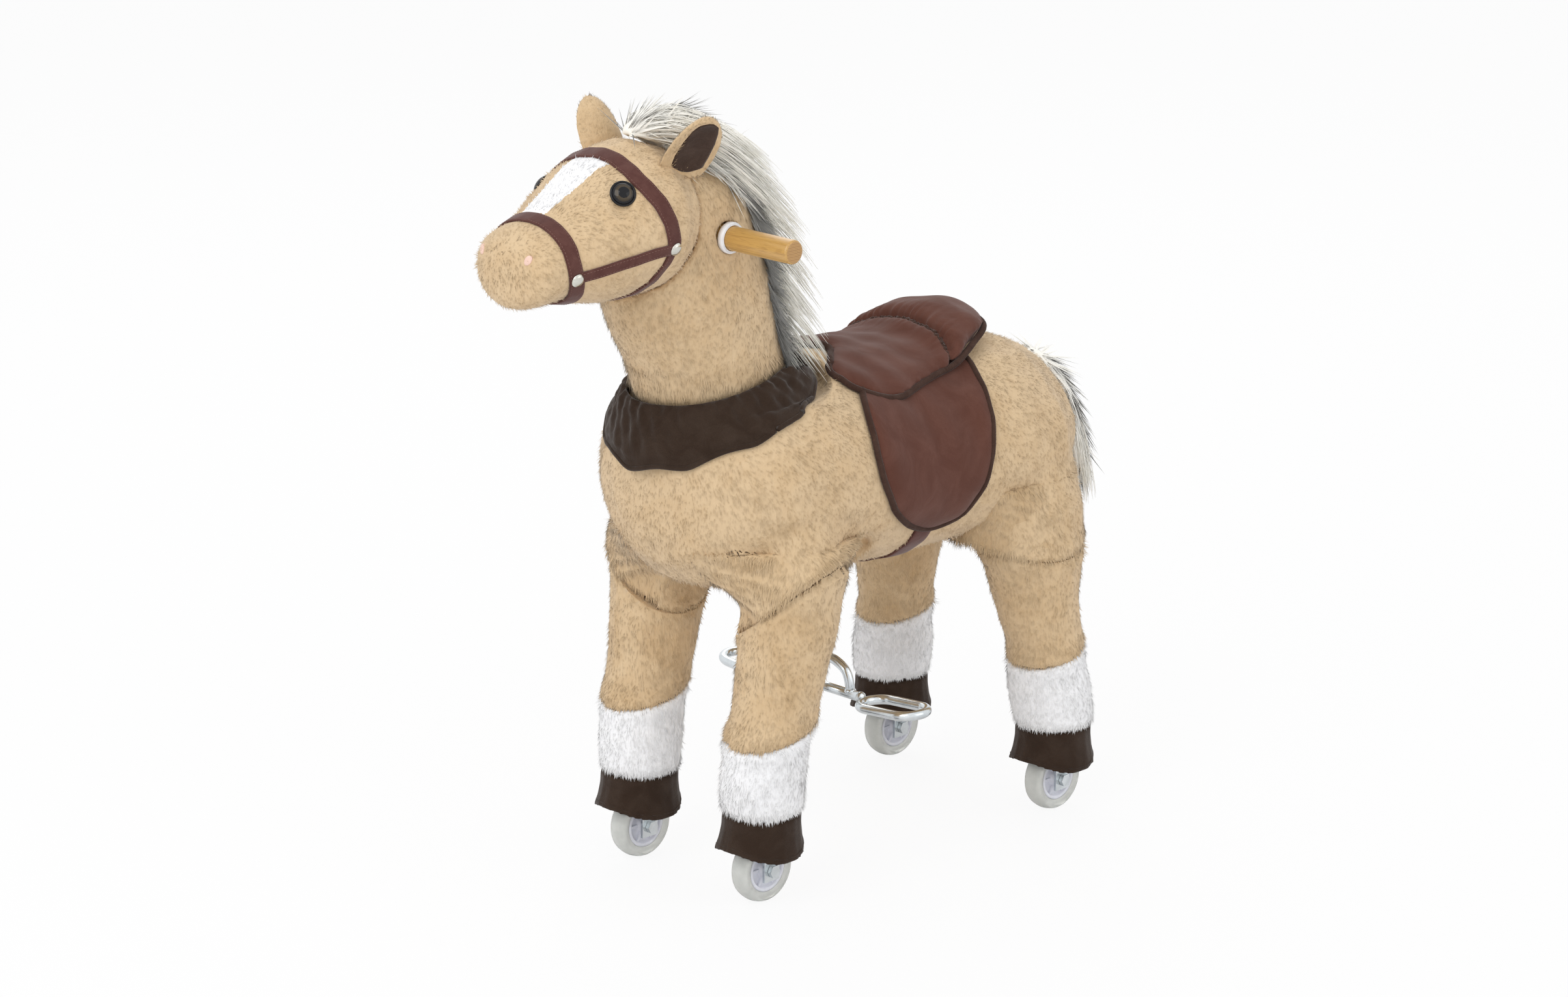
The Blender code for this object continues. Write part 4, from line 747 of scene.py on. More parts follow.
def padMesh(name, loop, middle, rings, proud, height):
    # two skins over the body, joined round the rim
    points = []
    faces = []
    count = len(loop)
    centre = np.array((0.0, middle))
    for layer in (1, 0):
        for ring in range(rings + 1):
            share = math.sin(ring / rings * math.pi / 2) ** 0.85
            for angle, y in centre + (loop - centre) * share:
                rim = np.linalg.norm((loop - centre) * flatScale, axis=1).mean() * (1 - share)
                rise = height(angle, y, rim) if layer else 0.0
                points.append(bodySkin.at(y, angle, proud(y) + rise)[0])
                if ring == 0:
                    break
    half = len(points) // 2
    for base, turn in ((0, 1), (half, -1)):
        for step in range(count):
            after = (step + 1) % count
            faces.append((base, base + 1 + step, base + 1 + after)[::turn])
            for ring in range(rings - 1):
                low = base + 1 + ring * count
                high = low + count
                faces.append((low + step, high + step, high + after, low + after)[::turn])
    rim = 1 + (rings - 1) * count
    for step in range(count):
        after = (step + 1) % count
        faces.append((rim + step, half + rim + step, half + rim + after, rim + after))
    return meshFromFaces(name, [tuple(point) for point in points], faces)


def seatSeam(angle):
    return saddle["seamY"] - saddle["seamCurve"] * (angle / math.radians(40)) ** 2


def seatHeight(angle, y, rim):
    past = y - seatSeam(angle)
    level = saddle["edge"] + (saddle["pad"] - saddle["edge"]) * softEdge(rim, 0.016)
    side = math.cos(min(1.0, abs(angle) / math.radians(47)) * math.pi / 2) ** 0.6
    level += saddle["cantle"] * stepBetween(past, -0.012, 0.030) * side
    return level + 0.003 * stepBetween(past, -0.060, 0.0) * side


def inflate(mesh, voxel, pressure, cap, frames=20):
    # swells a closed pad with simulated cloth and keeps each point within cap of its start
    even = voxelMesh("evening", mesh, voxel)
    thing = bpy.data.objects.new("swelling", even)
    scene.collection.objects.link(thing)
    start, edges = arraysOf(even)
    cloth = thing.modifiers.new("cloth", "CLOTH")
    cloth.settings.use_pressure = True
    cloth.settings.uniform_pressure_force = pressure
    cloth.settings.effector_weights.gravity = 0
    cloth.settings.quality = 5
    cloth.point_cache.frame_start = 1
    cloth.point_cache.frame_end = frames
    for frameNumber in range(1, frames + 1):
        scene.frame_set(frameNumber)
    even = evaluated(thing)
    thing.modifiers.clear()
    scene.frame_set(1)
    points = arraysOf(even)[0]
    move = points - start
    reach = np.linalg.norm(move, axis=1)
    points = start + move * np.minimum(1, cap(start) / np.maximum(reach, 1e-9))[:, None]
    even.vertices.foreach_set("co", points.astype(np.float32).ravel())
    thing.data = even
    finer = thing.modifiers.new("finer", "SUBSURF")
    finer.levels = 1
    finer.render_levels = 1
    final = evaluated(thing)
    bpy.data.objects.remove(thing)
    smoothShade(final)
    return final


def reshape(mesh, move):
    # moves each point along its normal by move(point)
    points = arraysOf(mesh)[0]
    points += normalsOf(mesh) * move(points)[:, None]
    placePoints(mesh, points)


def seatCreases(points):
    # the gathered seam in front of the cantle, and the slack in the cloth
    x, y, z = points.T
    angle = np.arctan2(x, (z - bodyMiddle) * 1.05)
    past = y - seatSeam(angle)
    within = np.clip((math.radians(41) - np.abs(angle)) / math.radians(5), 0, 1)
    groove = -0.0042 * np.exp(-(past / 0.0035) ** 2)
    puff = 0.0022 * np.exp(-((past + 0.012) / 0.009) ** 2) + 0.0016 * np.exp(-((past - 0.012) / 0.008) ** 2)
    fade = np.exp(-np.abs(past - 0.004) / 0.010)
    gathers = 0.0015 * fade * np.sin(x * 640 + 2.2 * np.sin(x * 97)) * (0.6 + 0.4 * np.sin(x * 231 + 1))
    slack = 0.0006 * np.sin(x * 83 + y * 61) + 0.0005 * np.sin(y * 140 - x * 55 + 1.0)
    return (groove + puff + gathers) * within + slack


def bindingTube(name, path, radius, pitch, depth):
    even = resample(np.array([tuple(place) for place in path]), pitch / 3)
    even = even[:len(even) - len(even) % 3]
    sizes = [radius + (depth if index % 3 == 0 else -depth / 2) for index in range(len(even))]
    return tubeMesh(name, [Vector(place) for place in even], sizes, 10, closed=True)


def bindingPath(loop, proud, inset):
    centre = loop.mean(0)
    return [bodySkin.at(y, angle, proud)[0] for angle, y in centre + (loop - centre) * (1 - inset)]


skirtLoop = padLoop(saddle["skirtEdge"], 150)
seatLoop = padLoop(saddle["seatEdge"], 150, 10)


def skirtHeight(angle, y, rim):
    level = 0.0034 + 0.0008 * softEdge(rim, 0.020)
    return level + 0.0032 * softEdge(rim, 0.020) * stepBetween(abs(angle), math.radians(40), math.radians(62))


skirtMesh = padMesh("saddleSkirtPad", skirtLoop, saddle["skirtMiddle"], 16, lambda y: 0.0012, skirtHeight)
reshape(skirtMesh, lambda points: 0.0005 * np.sin(points[:, 2] * 75 + points[:, 1] * 48) + 0.0004 * np.sin(
    points[:, 1] * 120 + points[:, 2] * 33))
skirt = addPiece("saddleSkirtPad", skirtMesh, "velour", "chassis", ("saddle_skirt",))


def seatLift(y):
    # the front lobes lie on the plush, the rest on the skirt
    return 0.0018 + (saddle["seatLift"] - 0.0018) * stepBetween(y, 0.0, 0.055)


seatMesh = padMesh("seatShape", seatLoop, saddle["seatMiddle"], 16, seatLift, seatHeight)


def seatCap(points):
    # the cantle swells most and the front stays flat
    back = np.clip((points[:, 1] - saddle["seamY"] + 0.045) / 0.060, 0, 1)
    return saddle["swell"] * (0.12 + 0.88 * back)


seatMesh = inflate(seatMesh, 0.0042, 4.0, seatCap)
reshape(seatMesh, seatCreases)
seatMesh.name = "saddleSeatPad"
seat = addPiece("saddleSeatPad", seatMesh, "velour", "chassis", ("saddle_seat",))
for name, loop, proud in (
    ("skirtBinding", skirtLoop, 0.0012 + 0.0026), ("seatBinding", seatLoop, None),
):
    if proud is None:
        path = [
            bodySkin.at(y, angle, seatLift(y) + seatHeight(angle, y, 0.0) * 0.62)[0] for angle, y in seatLoop
        ]
    else:
        path = bindingPath(loop, proud, 0.0)
    tube = bindingTube(name, path, saddle["bindingRadius"], saddle["ribPitch"], saddle["ribDepth"])
    addPiece(name, tube, "binding", "chassis")

# the gathered seam: a dark ruffle sunk in the crease before the cantle
seatTree = treeOf(seat)
ruffle = {"reach": 37, "steps": 220, "radius": 0.0027, "sink": 0.0012}
path = []
sizes = []
for share in np.linspace(-1, 1, ruffle["steps"]).tolist():
    angle = math.radians(ruffle["reach"]) * share
    place, normal = bodySkin.at(seatSeam(angle), angle, 0.05)
    found = seatTree.ray_cast(place, -normal)[0]
    if found is None:
        continue
    wobble = 0.0010 * math.sin(share * 61 + 2 * math.sin(share * 17)) + 0.0006 * math.sin(share * 143 + 1)
    path.append(found - normal * ruffle["sink"] + Vector((0, wobble, 0)))
    ends = min(1.0, (1 - abs(share)) * 6)
    gather = 1 + 0.28 * math.sin(share * 97) + 0.18 * math.sin(share * 211)
    sizes.append(ruffle["radius"] * (0.20 + 0.80 * ends) * gather)
addPiece("seatGather", tubeMesh("seatGather", path, sizes, 12), "binding", "chassis")

# Girth strap: webbing under the belly from one skirt to the other
girth = {"y": 0.0639, "width": 0.030, "thickness": 0.0028, "start": 112}


def webProfile(width, thickness, sink):
    # a flat band with rounded edges: across and out
    half = width / 2
    edge = thickness / 2
    return (
        (-half + edge, -sink), (half - edge, -sink), (half - edge * 0.3, edge * 0.35), (half, edge),
        (half - edge * 0.3, thickness * 0.85), (half - edge, thickness), (half * 0.5, thickness * 1.12),
        (0, thickness * 1.16), (-half * 0.5, thickness * 1.12), (-half + edge, thickness),
        (-half + edge * 0.3, thickness * 0.85), (-half, edge), (-half + edge * 0.3, edge * 0.35),
    )


def webMesh(name, skin, path, width, thickness, closed=False, sink=0.0015, proud=0.0):
    rings = []
    edges = ([], [])
    count = len(path)
    for index, (y, angle) in enumerate(path):
        before = path[index - 1] if closed else path[max(index - 1, 0)]
        after = path[(index + 1) % count] if closed else path[min(index + 1, count - 1)]
        place, normal = skin.at(y, angle, proud)
        along = (skin.hit(*after) - skin.hit(*before)).normalized()
        across = normal.cross(along).normalized()
        normal = along.cross(across).normalized()
        rings.append([place + across * side + normal * out for side, out in webProfile(width, thickness, sink)])
        for edge, side in zip(edges, (-1, 1)):
            edge.append(place + across * side * (width / 2 - 0.0022) + normal * thickness * 1.08)
    return ringsMesh(name, rings, closed=closed), edges


def threadMesh(name, lines, length, gap, radius):
    # a row of short stitches along each line
    rings = []
    for line in lines:
        even = resample(np.array([tuple(place) for place in line]), length + gap, closed=False)
        for start, after in zip(even[:-1], even[1:]):
            start = Vector(start)
            along = (Vector(after) - start).normalized()
            side = along.orthogonal().normalized()
            up = along.cross(side)
            stitch = []
            for share, size in ((0.0, 0.35), (0.2, 1.0), (0.8, 1.0), (1.0, 0.35)):
                stitch.append([
                    start + along * length * share + radius * size * (
                        math.cos(math.pi / 3 * step) * side + math.sin(math.pi / 3 * step) * up)
                    for step in range(6)
                ])
            rings.append(stitch)
    points = []
    faces = []
    for stitch in rings:
        base = len(points)
        points += [tuple(point) for ring in stitch for point in ring]
        for ring in range(3):
            for step in range(6):
                after = (step + 1) % 6
                low = base + ring * 6
                faces.append((low + step, low + after, low + 6 + after, low + 6 + step))
        faces.append(tuple(range(base, base + 6))[::-1])
        faces.append(tuple(range(base + 18, base + 24)))
    mesh = bpy.data.meshes.new(name)
    mesh.from_pydata(points, [], faces)
    smoothShade(mesh)
    return mesh


girthPath = [(girth["y"], math.radians(angle)) for angle in np.linspace(girth["start"], 360 - girth["start"], 50)]
girthMesh = webMesh("girthWebbing", bodySkin, girthPath, girth["width"], girth["thickness"])[0]
addPiece("girthWebbing", girthMesh, "webbing", "chassis", ("girth_strap",))
print("scene: saddle done")

# Collar: padded suede round the neck's foot, with a scalloped and piped lower edge
collarLook = {
    "top": 0.577, "tilt": 0.016, "clearance": 0.005, "frontDrop": 0.068, "sideDrop": 0.046, "backDrop": 0.020,
    "frontFlare": 0.014, "sideFlare": 0.030, "backFlare": 0.028, "scallop": 0.006, "scallops": 9,
    "thickness": 0.0065, "piping": 0.0030, "columns": 220, "rows": 18, "middleY": -0.155,
}
neckTree = treeOf(neck)


def neckReach(angle, z):
    centre = Vector((0, collarLook["middleY"], z))
    out = Vector((math.sin(angle), -math.cos(angle), 0))
    found = neckTree.ray_cast(centre + out * 0.3, -out)[0]
    return (found - centre).length if found is not None else 0.09


def mixRound(angle, front, side, back):
    along = math.cos(angle)
    return side * math.sin(angle) ** 2 + (front if along > 0 else back) * along ** 2


def pushOut(place, tree, gap):
    near, normal = tree.find_nearest(place)[:2]
    depth = (place - near).dot(normal)
    return place if depth > gap else near + normal * gap


def collarLine(angle):
    out = Vector((math.sin(angle), -math.cos(angle), 0))
    topZ = collarLook["top"] - collarLook["tilt"] * math.cos(angle)
    reach = neckReach(angle, max(topZ, 0.566)) + collarLook["clearance"]
    top = Vector((0, collarLook["middleY"], topZ)) + out * reach
    drop = mixRound(angle, collarLook["frontDrop"], collarLook["sideDrop"], collarLook["backDrop"])
    wave = abs(math.sin(angle * collarLook["scallops"] / 2 + 0.35))
    drop += collarLook["scallop"] * (0.55 - wave ** 1.6)
    flare = mixRound(angle, collarLook["frontFlare"], collarLook["sideFlare"], collarLook["backFlare"])
    low = top + out * flare - Vector((0, 0, drop))
    away = (out * drop + Vector((0, 0, flare))).normalized()
    return top, low, away


collarRings = []
collarEdge = []
for column in range(collarLook["columns"]):
    angle = 2 * math.pi * column / collarLook["columns"]
    top, low, away = collarLine(angle)
    outer = []
    inner = []
    for row in range(collarLook["rows"] + 1):
        share = row / collarLook["rows"]
        place = pushOut(top.lerp(low, share), bodySkin.tree, 0.0016)
        thick = collarLook["thickness"] * (0.35 + 0.65 * softEdge(min(share + 0.02, 1.02 - share), 0.22))
        thick -= 0.0022 * math.exp(-((share - 0.90) / 0.030) ** 2)
        ripple = 0.0013 * math.sin(angle * 23 + 5 * share) + 0.0011 * math.sin(angle * 37 - 9 * share + 2)
        ripple += 0.0012 * math.sin(angle * 11 + 14 * share) * math.sin(share * 17 + angle * 3)
        inner.append(place)
        outer.append(place + away * (thick + ripple * softEdge(1 - share, 0.5) * (0.35 + 0.65 * (1 - share))))
    collarEdge.append((inner[-1] + outer[-1]) / 2 + away * 0.0006)
    collarRings.append(outer + inner[::-1])
collarMesh = ringsMesh("collarPanel", collarRings, closed=True)
collarPiece = addPiece("collarPanel", collarMesh, "suede", "chassis", ("collar",))
piping = tubeMesh("collarPiping", [Vector(place) for place in resample(
    np.array([tuple(place) for place in collarEdge]), 0.003)], collarLook["piping"], 12, closed=True)
addPiece("collarPiping", piping, "suede", "chassis")
print("scene: collar done")


# Bridle: webbing round the head, stitched along both edges, with a domed stud on each joint
bridle = {
    "noseY": -0.3985, "noseLean": 0.0170, "crownY": -0.2832, "crownLean": -0.0228, "crownWidth": 0.0185,
    "noseWidth": 0.0180, "cheekWidth": 0.0125, "jawWidth": 0.0120, "thickness": 0.0022, "noseAngle": 96,
    "cheekAngle": 101, "jawBow": -0.027, "stitch": 0.0024, "stitchGap": 0.0013, "stitchRadius": 0.00032,
}


def crownAt(angle):
    # the strap lies further forward on top of the head
    low = stepBetween(abs(angle), math.radians(38), math.radians(108))
    return bridle["crownY"] + bridle["crownLean"] * (1 - low), angle


def noseAt(angle):
    # and the noseband further back under the jaw
    low = stepBetween(min(angle, 2 * math.pi - angle), math.radians(70), math.radians(140))
    return bridle["noseY"] + bridle["noseLean"] * low, angle


cheek = math.radians(bridle["cheekAngle"])
noseTurn = math.radians(bridle["noseAngle"])
noseStudY = noseAt(noseTurn)[0]
nosePath = [noseAt(2 * math.pi * step / 96) for step in range(96)]
crownPath = [crownAt(angle) for angle in np.linspace(-cheek, cheek, 80)]
jawPath = [
    (bridle["crownY"] + bridle["jawBow"] * math.sin(math.pi * share), cheek + (2 * math.pi - 2 * cheek) * share)
    for share in np.linspace(0, 1, 60)
]
straps = [
    ("noseband", nosePath, bridle["noseWidth"], True, 0.0010),
    ("crownStrap", crownPath, bridle["crownWidth"], False, 0.0),
    ("jawStrap", jawPath, bridle["jawWidth"], False, 0.0),
]
for side, hand in hands:
    steps = np.linspace(0, 1, 40)
    path = [
        (noseStudY + (bridle["crownY"] - noseStudY) * share, side * (noseTurn + (cheek - noseTurn) * share))
        for share in steps
    ]
    straps.append((f"{hand}CheekStrap", path, bridle["cheekWidth"], False, 0.0006))
stitchLines = []
for name, path, width, closed, proud in straps:
    mesh, edges = webMesh(name, headSkin, path, width, bridle["thickness"], closed, proud=proud)
    addPiece(name, mesh, "webbing", "steering", ("bridle",) if name == "crownStrap" else ())
    stitchLines += edges
stitches = threadMesh("bridleStitches", stitchLines, bridle["stitch"], bridle["stitchGap"], bridle["stitchRadius"])
addPiece("bridleStitches", stitches, "brownThread", "steering")


def domeMesh(name, centre, normal, profile, sides=48, stretch=1.0, up=None):
    # a round or oval cap: profile gives (radius, height) from the rim to the middle
    normal = Vector(normal).normalized()
    side = (Vector(up) if up else Vector((0, 0, 1))).cross(normal).normalized()
    other = normal.cross(side).normalized()
    rings = []
    for radius, height in profile:
        rings.append([
            Vector(centre) + normal * height + radius * (
                math.cos(2 * math.pi * step / sides) * side
                + stretch * math.sin(2 * math.pi * step / sides) * other)
            for step in range(sides)
        ])
    return ringsMesh(name, rings)


studLook = {"radius": 0.0074, "height": 0.0040}
for side, hand in hands:
    for label, y, turn in (("noseband", noseStudY, noseTurn), ("cheek", bridle["crownY"], cheek)):
        place, normal = headSkin.at(y, side * turn, 0.0024 + (0.0012 if label == "noseband" else 0.0))
        radius = studLook["radius"]
        profile = [(radius * 0.9, 0.0), (radius, 0.0004), (radius, 0.0009), (radius * 0.93, 0.0014)]
        for step in range(1, 9):
            swing = math.pi / 2 * step / 9
            profile.append((radius * 0.9 * math.cos(swing), 0.0014 + studLook["height"] * 0.65 * math.sin(swing)))
        mesh = domeMesh(f"{hand}{label.title()}Stud", place, normal, profile)
        addPiece(mesh.name, mesh, "stud", "steering", (f"{hand}_{label}_stud",))

# Eyes: a clear dome in a dark rim
eyeLook.update({"radius": 0.0122, "height": 0.0068, "rim": 0.0014, "y": -0.3278, "angle": 48.6, "far": (0.010, 17)})
for side, hand in hands:
    shift, turn = eyeLook["far"] if side < 0 else (0, 0)
    place, normal = headSkin.at(eyeLook["y"] + shift, side * math.radians(eyeLook["angle"] + turn), 0.0)
    profile = [(eyeLook["radius"], -0.003)]
    for step in range(14):
        swing = math.pi / 2 * step / 14
        profile.append((eyeLook["radius"] * math.cos(swing), eyeLook["height"] * math.sin(swing)))
    eyeMaterial(f"{hand}EyeGloss", place, normal)
    mesh = domeMesh(f"{hand}EyeDome", place, normal, profile, 56)
    addPiece(mesh.name, mesh, f"{hand}EyeGloss", "steering", (f"{hand}_eye",))
    rim = [
        place + normal * 0.0010 + (eyeLook["radius"] + 0.0004) * (
            math.cos(2 * math.pi * step / 56) * normal.orthogonal().normalized()
            + math.sin(2 * math.pi * step / 56) * normal.cross(normal.orthogonal()).normalized())
        for step in range(56)
    ]
    addPiece(f"{hand}EyeRim", tubeMesh(f"{hand}EyeRim", rim, eyeLook["rim"], 10, closed=True),
             f"{hand}EyeGloss", "steering")

# Nostrils: a pink fold in the plush on each side of the nose
nostril = {"y": -0.4380, "angle": 60, "radius": 0.0040, "stretch": 1.45, "height": 0.0018}
for side, hand in hands:
    place, normal = headSkin.at(nostril["y"], side * math.radians(nostril["angle"]), 0.0)
    profile = [(nostril["radius"], -0.002)]
    for step in range(8):
        swing = math.pi / 2 * step / 8
        radius = nostril["radius"] * math.cos(swing)
        profile.append((radius, nostril["height"] * (math.sin(swing) - 0.55 * math.exp(-(radius / 0.0012) ** 2))))
    mesh = domeMesh(f"{hand}NostrilFold", place, normal, profile, 32, nostril["stretch"], (side * 0.5, 0.2, 1))
    addPiece(mesh.name, mesh, "pink", "steering")
print("scene: bridle and face done")

# Handles: one varnished dowel through the neck, with a white ring where it leaves the plush
handle = {"radius": 0.013, "rounding": 0.0032, "half": 0.172, "y": -0.191061, "z": 0.745, "grommet": 0.0170}
profile = []
for step in range(7):
    swing = math.pi / 2 * step / 6
    profile.append((
        -handle["half"] + handle["rounding"] * (1 - math.sin(swing)),
        handle["radius"] - handle["rounding"] * (1 - math.cos(swing)),
    ))
profile = [(-handle["half"], profile[-1][1] * 0.5)] + profile[::-1]
profile += [(-x, radius) for x, radius in profile[::-1]]
centre = Vector((0, handle["y"], handle["z"]))
rings = [[
    centre + Vector((x, radius * math.cos(2 * math.pi * step / 56), radius * math.sin(2 * math.pi * step / 56)))
    for step in range(56)
] for x, radius in profile]
mesh = ringsMesh("handleDowel", rings)
addPiece("handleDowel", mesh, "wood", "steering", ("handle_bar",))
mesh.materials.append(finishes["woodEnd"])
for face in mesh.polygons:
    if abs(face.normal.x) > 0.9:
        face.material_index = 1
for side, hand in hands:
    low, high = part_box(f"{hand}_grommet")
    inner = handle["radius"] + 0.0003
    seatX = min(abs(low.x), abs(high.x))
    outX = max(abs(low.x), abs(high.x))
    reach = handle["grommet"]
    ring = [(inner, seatX - 0.003), (inner, outX - 0.0012)]
    ring += [(inner + 0.0006, outX - 0.0002), (inner + 0.0018, outX), (reach - 0.0022, outX - 0.0004)]
    ring += [(reach - 0.0006, outX - 0.0014), (reach, outX - 0.0028), (reach, seatX - 0.003)]
    mesh = lathe(f"{hand}HandleRing", [(radius, side * x) for radius, x in ring], centre)
    addPiece(mesh.name, mesh, "grommet", "steering", (f"{hand}_grommet",))

# Wheels: clear urethane tyres on white hubs with a bearing and a ring of spokes
wheel = {"radius": 0.038, "half": 0.012, "seat": 0.026, "boss": 0.0105, "bore": 0.0043, "web": 0.005, "spokes": 6}


def arcProfile(points, steps):
    # rounds a profile with a Catmull-Rom curve through its points
    rows = [np.array(point) for point in points]
    dense = []
    for index in range(len(rows) - 1):
        before, start = rows[max(index - 1, 0)], rows[index]
        end, after = rows[index + 1], rows[min(index + 2, len(rows) - 1)]
        for step in range(steps):
            t = step / steps
            dense.append(tuple(0.5 * (2 * start + (end - before) * t + (2 * before - 5 * start + 4 * end - after)
                                      * t * t + (3 * start - before - 3 * end + after) * t ** 3)))
    return dense + [tuple(rows[-1])]


for corner in corners:
    place = wheelPlace[corner]
    body = f"{corner}_wheel"
    half = wheel["half"]
    tread = arcProfile((
        (wheel["seat"], -0.80 * half), (0.0325, -half), (0.0362, -0.78 * half), (wheel["radius"], -0.22 * half),
        (wheel["radius"], 0.22 * half), (0.0362, 0.78 * half), (0.0325, half), (wheel["seat"], 0.80 * half),
    ), 4)
    mesh = lathe(f"{corner}TyreRing", tread, place, 96)
    addPiece(mesh.name, mesh, "urethane", body, (f"{corner}_tyre",))
    rim = wheel["seat"] - 0.0003
    web = (
        (rim, 0.80 * half), (rim, -0.80 * half), (rim - 0.0030, -0.84 * half), (rim - 0.0043, -0.72 * half),
        (rim - 0.0050, -wheel["web"]), (wheel["boss"] + 0.0016, -wheel["web"]),
        (wheel["boss"], -wheel["web"] - 0.0012), (wheel["boss"], -0.0126),
        (wheel["boss"] - 0.0012, -0.0131), (0.0078, -0.0131), (0.0074, -0.0118),
        (wheel["bore"], -0.0118), (wheel["bore"], 0.0118), (0.0074, 0.0118), (0.0078, 0.0131),
        (wheel["boss"] - 0.0012, 0.0131), (wheel["boss"], 0.0126), (wheel["boss"], wheel["web"] + 0.0012),
        (wheel["boss"] + 0.0016, wheel["web"]), (rim - 0.0050, wheel["web"]), (rim - 0.0043, 0.72 * half),
        (rim - 0.0030, 0.84 * half),
    )
    mesh = lathe(f"{corner}HubRim", web, place, 96)
    addPiece(mesh.name, mesh, "hub", body, (f"{corner}_wheel_hub",))
    for side, hand in hands:
        shield = ((wheel["bore"], 0.0118), (0.0073, 0.0118), (0.0073, 0.0124), (0.0068, 0.0126),
                  (wheel["bore"], 0.0126))
        mesh = lathe(f"{corner}{hand.title()}Bearing", [(radius, side * x) for radius, x in shield], place, 64)
        addPiece(mesh.name, mesh, "bearing", body)
        spokes = bmesh.new()
        for spoke in range(wheel["spokes"]):
            turn = 2 * math.pi * spoke / wheel["spokes"]
            out = Vector((0, math.cos(turn), math.sin(turn)))
            across = Vector((0, -math.sin(turn), math.cos(turn)))
            made = []
            for reach, wide in ((wheel["boss"] - 0.0005, 0.0019), (rim - 0.0040, 0.0014)):
                for offset in (-1, 1):
                    for x in (wheel["web"] - 0.0006, wheel["web"] + 0.0022):
                        spot = place + out * reach + across * offset * wide + Vector((side * x, 0, 0))
                        made.append(spokes.verts.new(spot))
            for a, b, c, d in ((0, 1, 3, 2), (4, 6, 7, 5), (0, 2, 6, 4), (1, 5, 7, 3), (0, 4, 5, 1), (2, 3, 7, 6)):
                spokes.faces.new([made[index] for index in (a, b, c, d)])
        bmesh.ops.recalc_face_normals(spokes, faces=spokes.faces)
        mesh = bmeshToMesh(f"{corner}{hand.title()}Spokes", spokes)
        thing = addPiece(mesh.name, mesh, "hub", body)
        bevelEdges(thing, 0.0005, 2)
    dots = bmesh.new()
    for spoke in range(24):
        turn = 2 * math.pi * spoke / 24
        centre = place + 0.0290 * Vector((0, math.cos(turn), math.sin(turn)))
        made = bmesh.ops.create_uvsphere(dots, u_segments=12, v_segments=8, radius=0.0013)["verts"]
        bmesh.ops.scale(dots, vec=(2.6, 1, 1), verts=made)
        bmesh.ops.translate(dots, vec=centre, verts=made)
    mesh = bmeshToMesh(f"{corner}CoreDots", dots)
    smoothShade(mesh)
    addPiece(mesh.name, mesh, "core", body)
print("scene: handles and wheels done")

# Foot bar: bent rods, with a weld bead where they join
foot = {
    "y": 0.027939, "z": 0.177, "rod": 0.0055, "barReach": 0.0597, "braceHalf": 0.042, "braceRise": 0.036,
    "length": 0.098, "width": 0.054, "centre": 0.109, "lift": 0.0035,
}
bracePath = arcProfile([
    (across * foot["braceHalf"], foot["y"], foot["z"] + up * foot["braceRise"])
    for across, up in ((-1.0, 0.0), (-0.98, 0.35), (-0.84, 0.72), (-0.5, 0.94), (-0.2, 1.0), (0.2, 1.0),
                       (0.5, 0.94), (0.84, 0.72), (0.98, 0.35), (1.0, 0.0))
], 5)
for name, path in (
    ("footBrace", [Vector(place) for place in bracePath]),
    ("footBar", [Vector((x, foot["y"], foot["z"])) for x in (-foot["barReach"], foot["barReach"])]),
):
    mesh = tubeMesh(name, path, foot["rod"], 28)
    addPiece(name, mesh, "zinc", "chassis", ("foot_crossbar",))
for side, hand in hands:
    halfLength = foot["length"] / 2 - foot["rod"]
    halfWidth = foot["width"] / 2 - foot["rod"]
    straight = halfLength - halfWidth
    path = []
    for end in (1, -1):
        for step in range(25):
            turn = math.radians(90 - 180 * step / 24)
            x = end * (straight + halfWidth * math.cos(turn))
            y = end * halfWidth * math.sin(turn)
            rise = foot["lift"] * x / halfLength
            path.append(Vector((side * (foot["centre"] + x), foot["y"] + y, foot["z"] + rise)))
    mesh = tubeMesh(f"{hand}StirrupLoop", path, foot["rod"], 24, closed=True, up=Vector((0, 0, 1)))
    addPiece(mesh.name, mesh, "zinc", "chassis", (f"{hand}_stirrup",))
    for label, place, radius in (
        ("Stirrup", Vector((side * 0.0585, foot["y"], foot["z"])), 0.0066),
        ("Brace", Vector((side * foot["braceHalf"], foot["y"], foot["z"] + 0.004)), 0.0068),
    ):
        data = bmesh.new()
        bmesh.ops.create_icosphere(data, subdivisions=3, radius=radius)
        for vertex in data.verts:
            co = vertex.co
            vertex.co += co.normalized() * 0.0004 * math.sin(co.x * 1800 + co.y * 1300) * math.sin(co.z * 1500)
        bmesh.ops.scale(data, vec=(0.75, 1, 1) if label == "Stirrup" else (1, 1, 0.6), verts=data.verts)
        bmesh.ops.translate(data, vec=place, verts=data.verts)
        mesh = bmeshToMesh(f"{hand}{label}Weld", data)
        smoothShade(mesh)
        addPiece(mesh.name, mesh, "zinc", "chassis")
print("scene: foot bar done")


# Ears: plush outside, a suede lining sewn into the side that faces outwards
ear = {"spread": 0.054, "y": -0.2441, "z": 0.818, "lining": 0.66, "thick": 0.0052, "cup": 0.0070}
ear["left"] = {"length": 0.082, "width": 0.060, "splay": 36, "turn": 16}
ear["right"] = {"length": 0.070, "width": 0.053, "splay": 26, "turn": -6}
earShape = ((0.00, 0.42), (0.12, 0.48), (0.32, 0.51), (0.56, 0.48), (0.74, 0.40), (0.87, 0.29), (0.95, 0.185),
            (1.0, 0.06))


def earHalf(share):
    rows = np.array(earShape)
    return float(np.interp(share, rows[:, 0], rows[:, 1]))


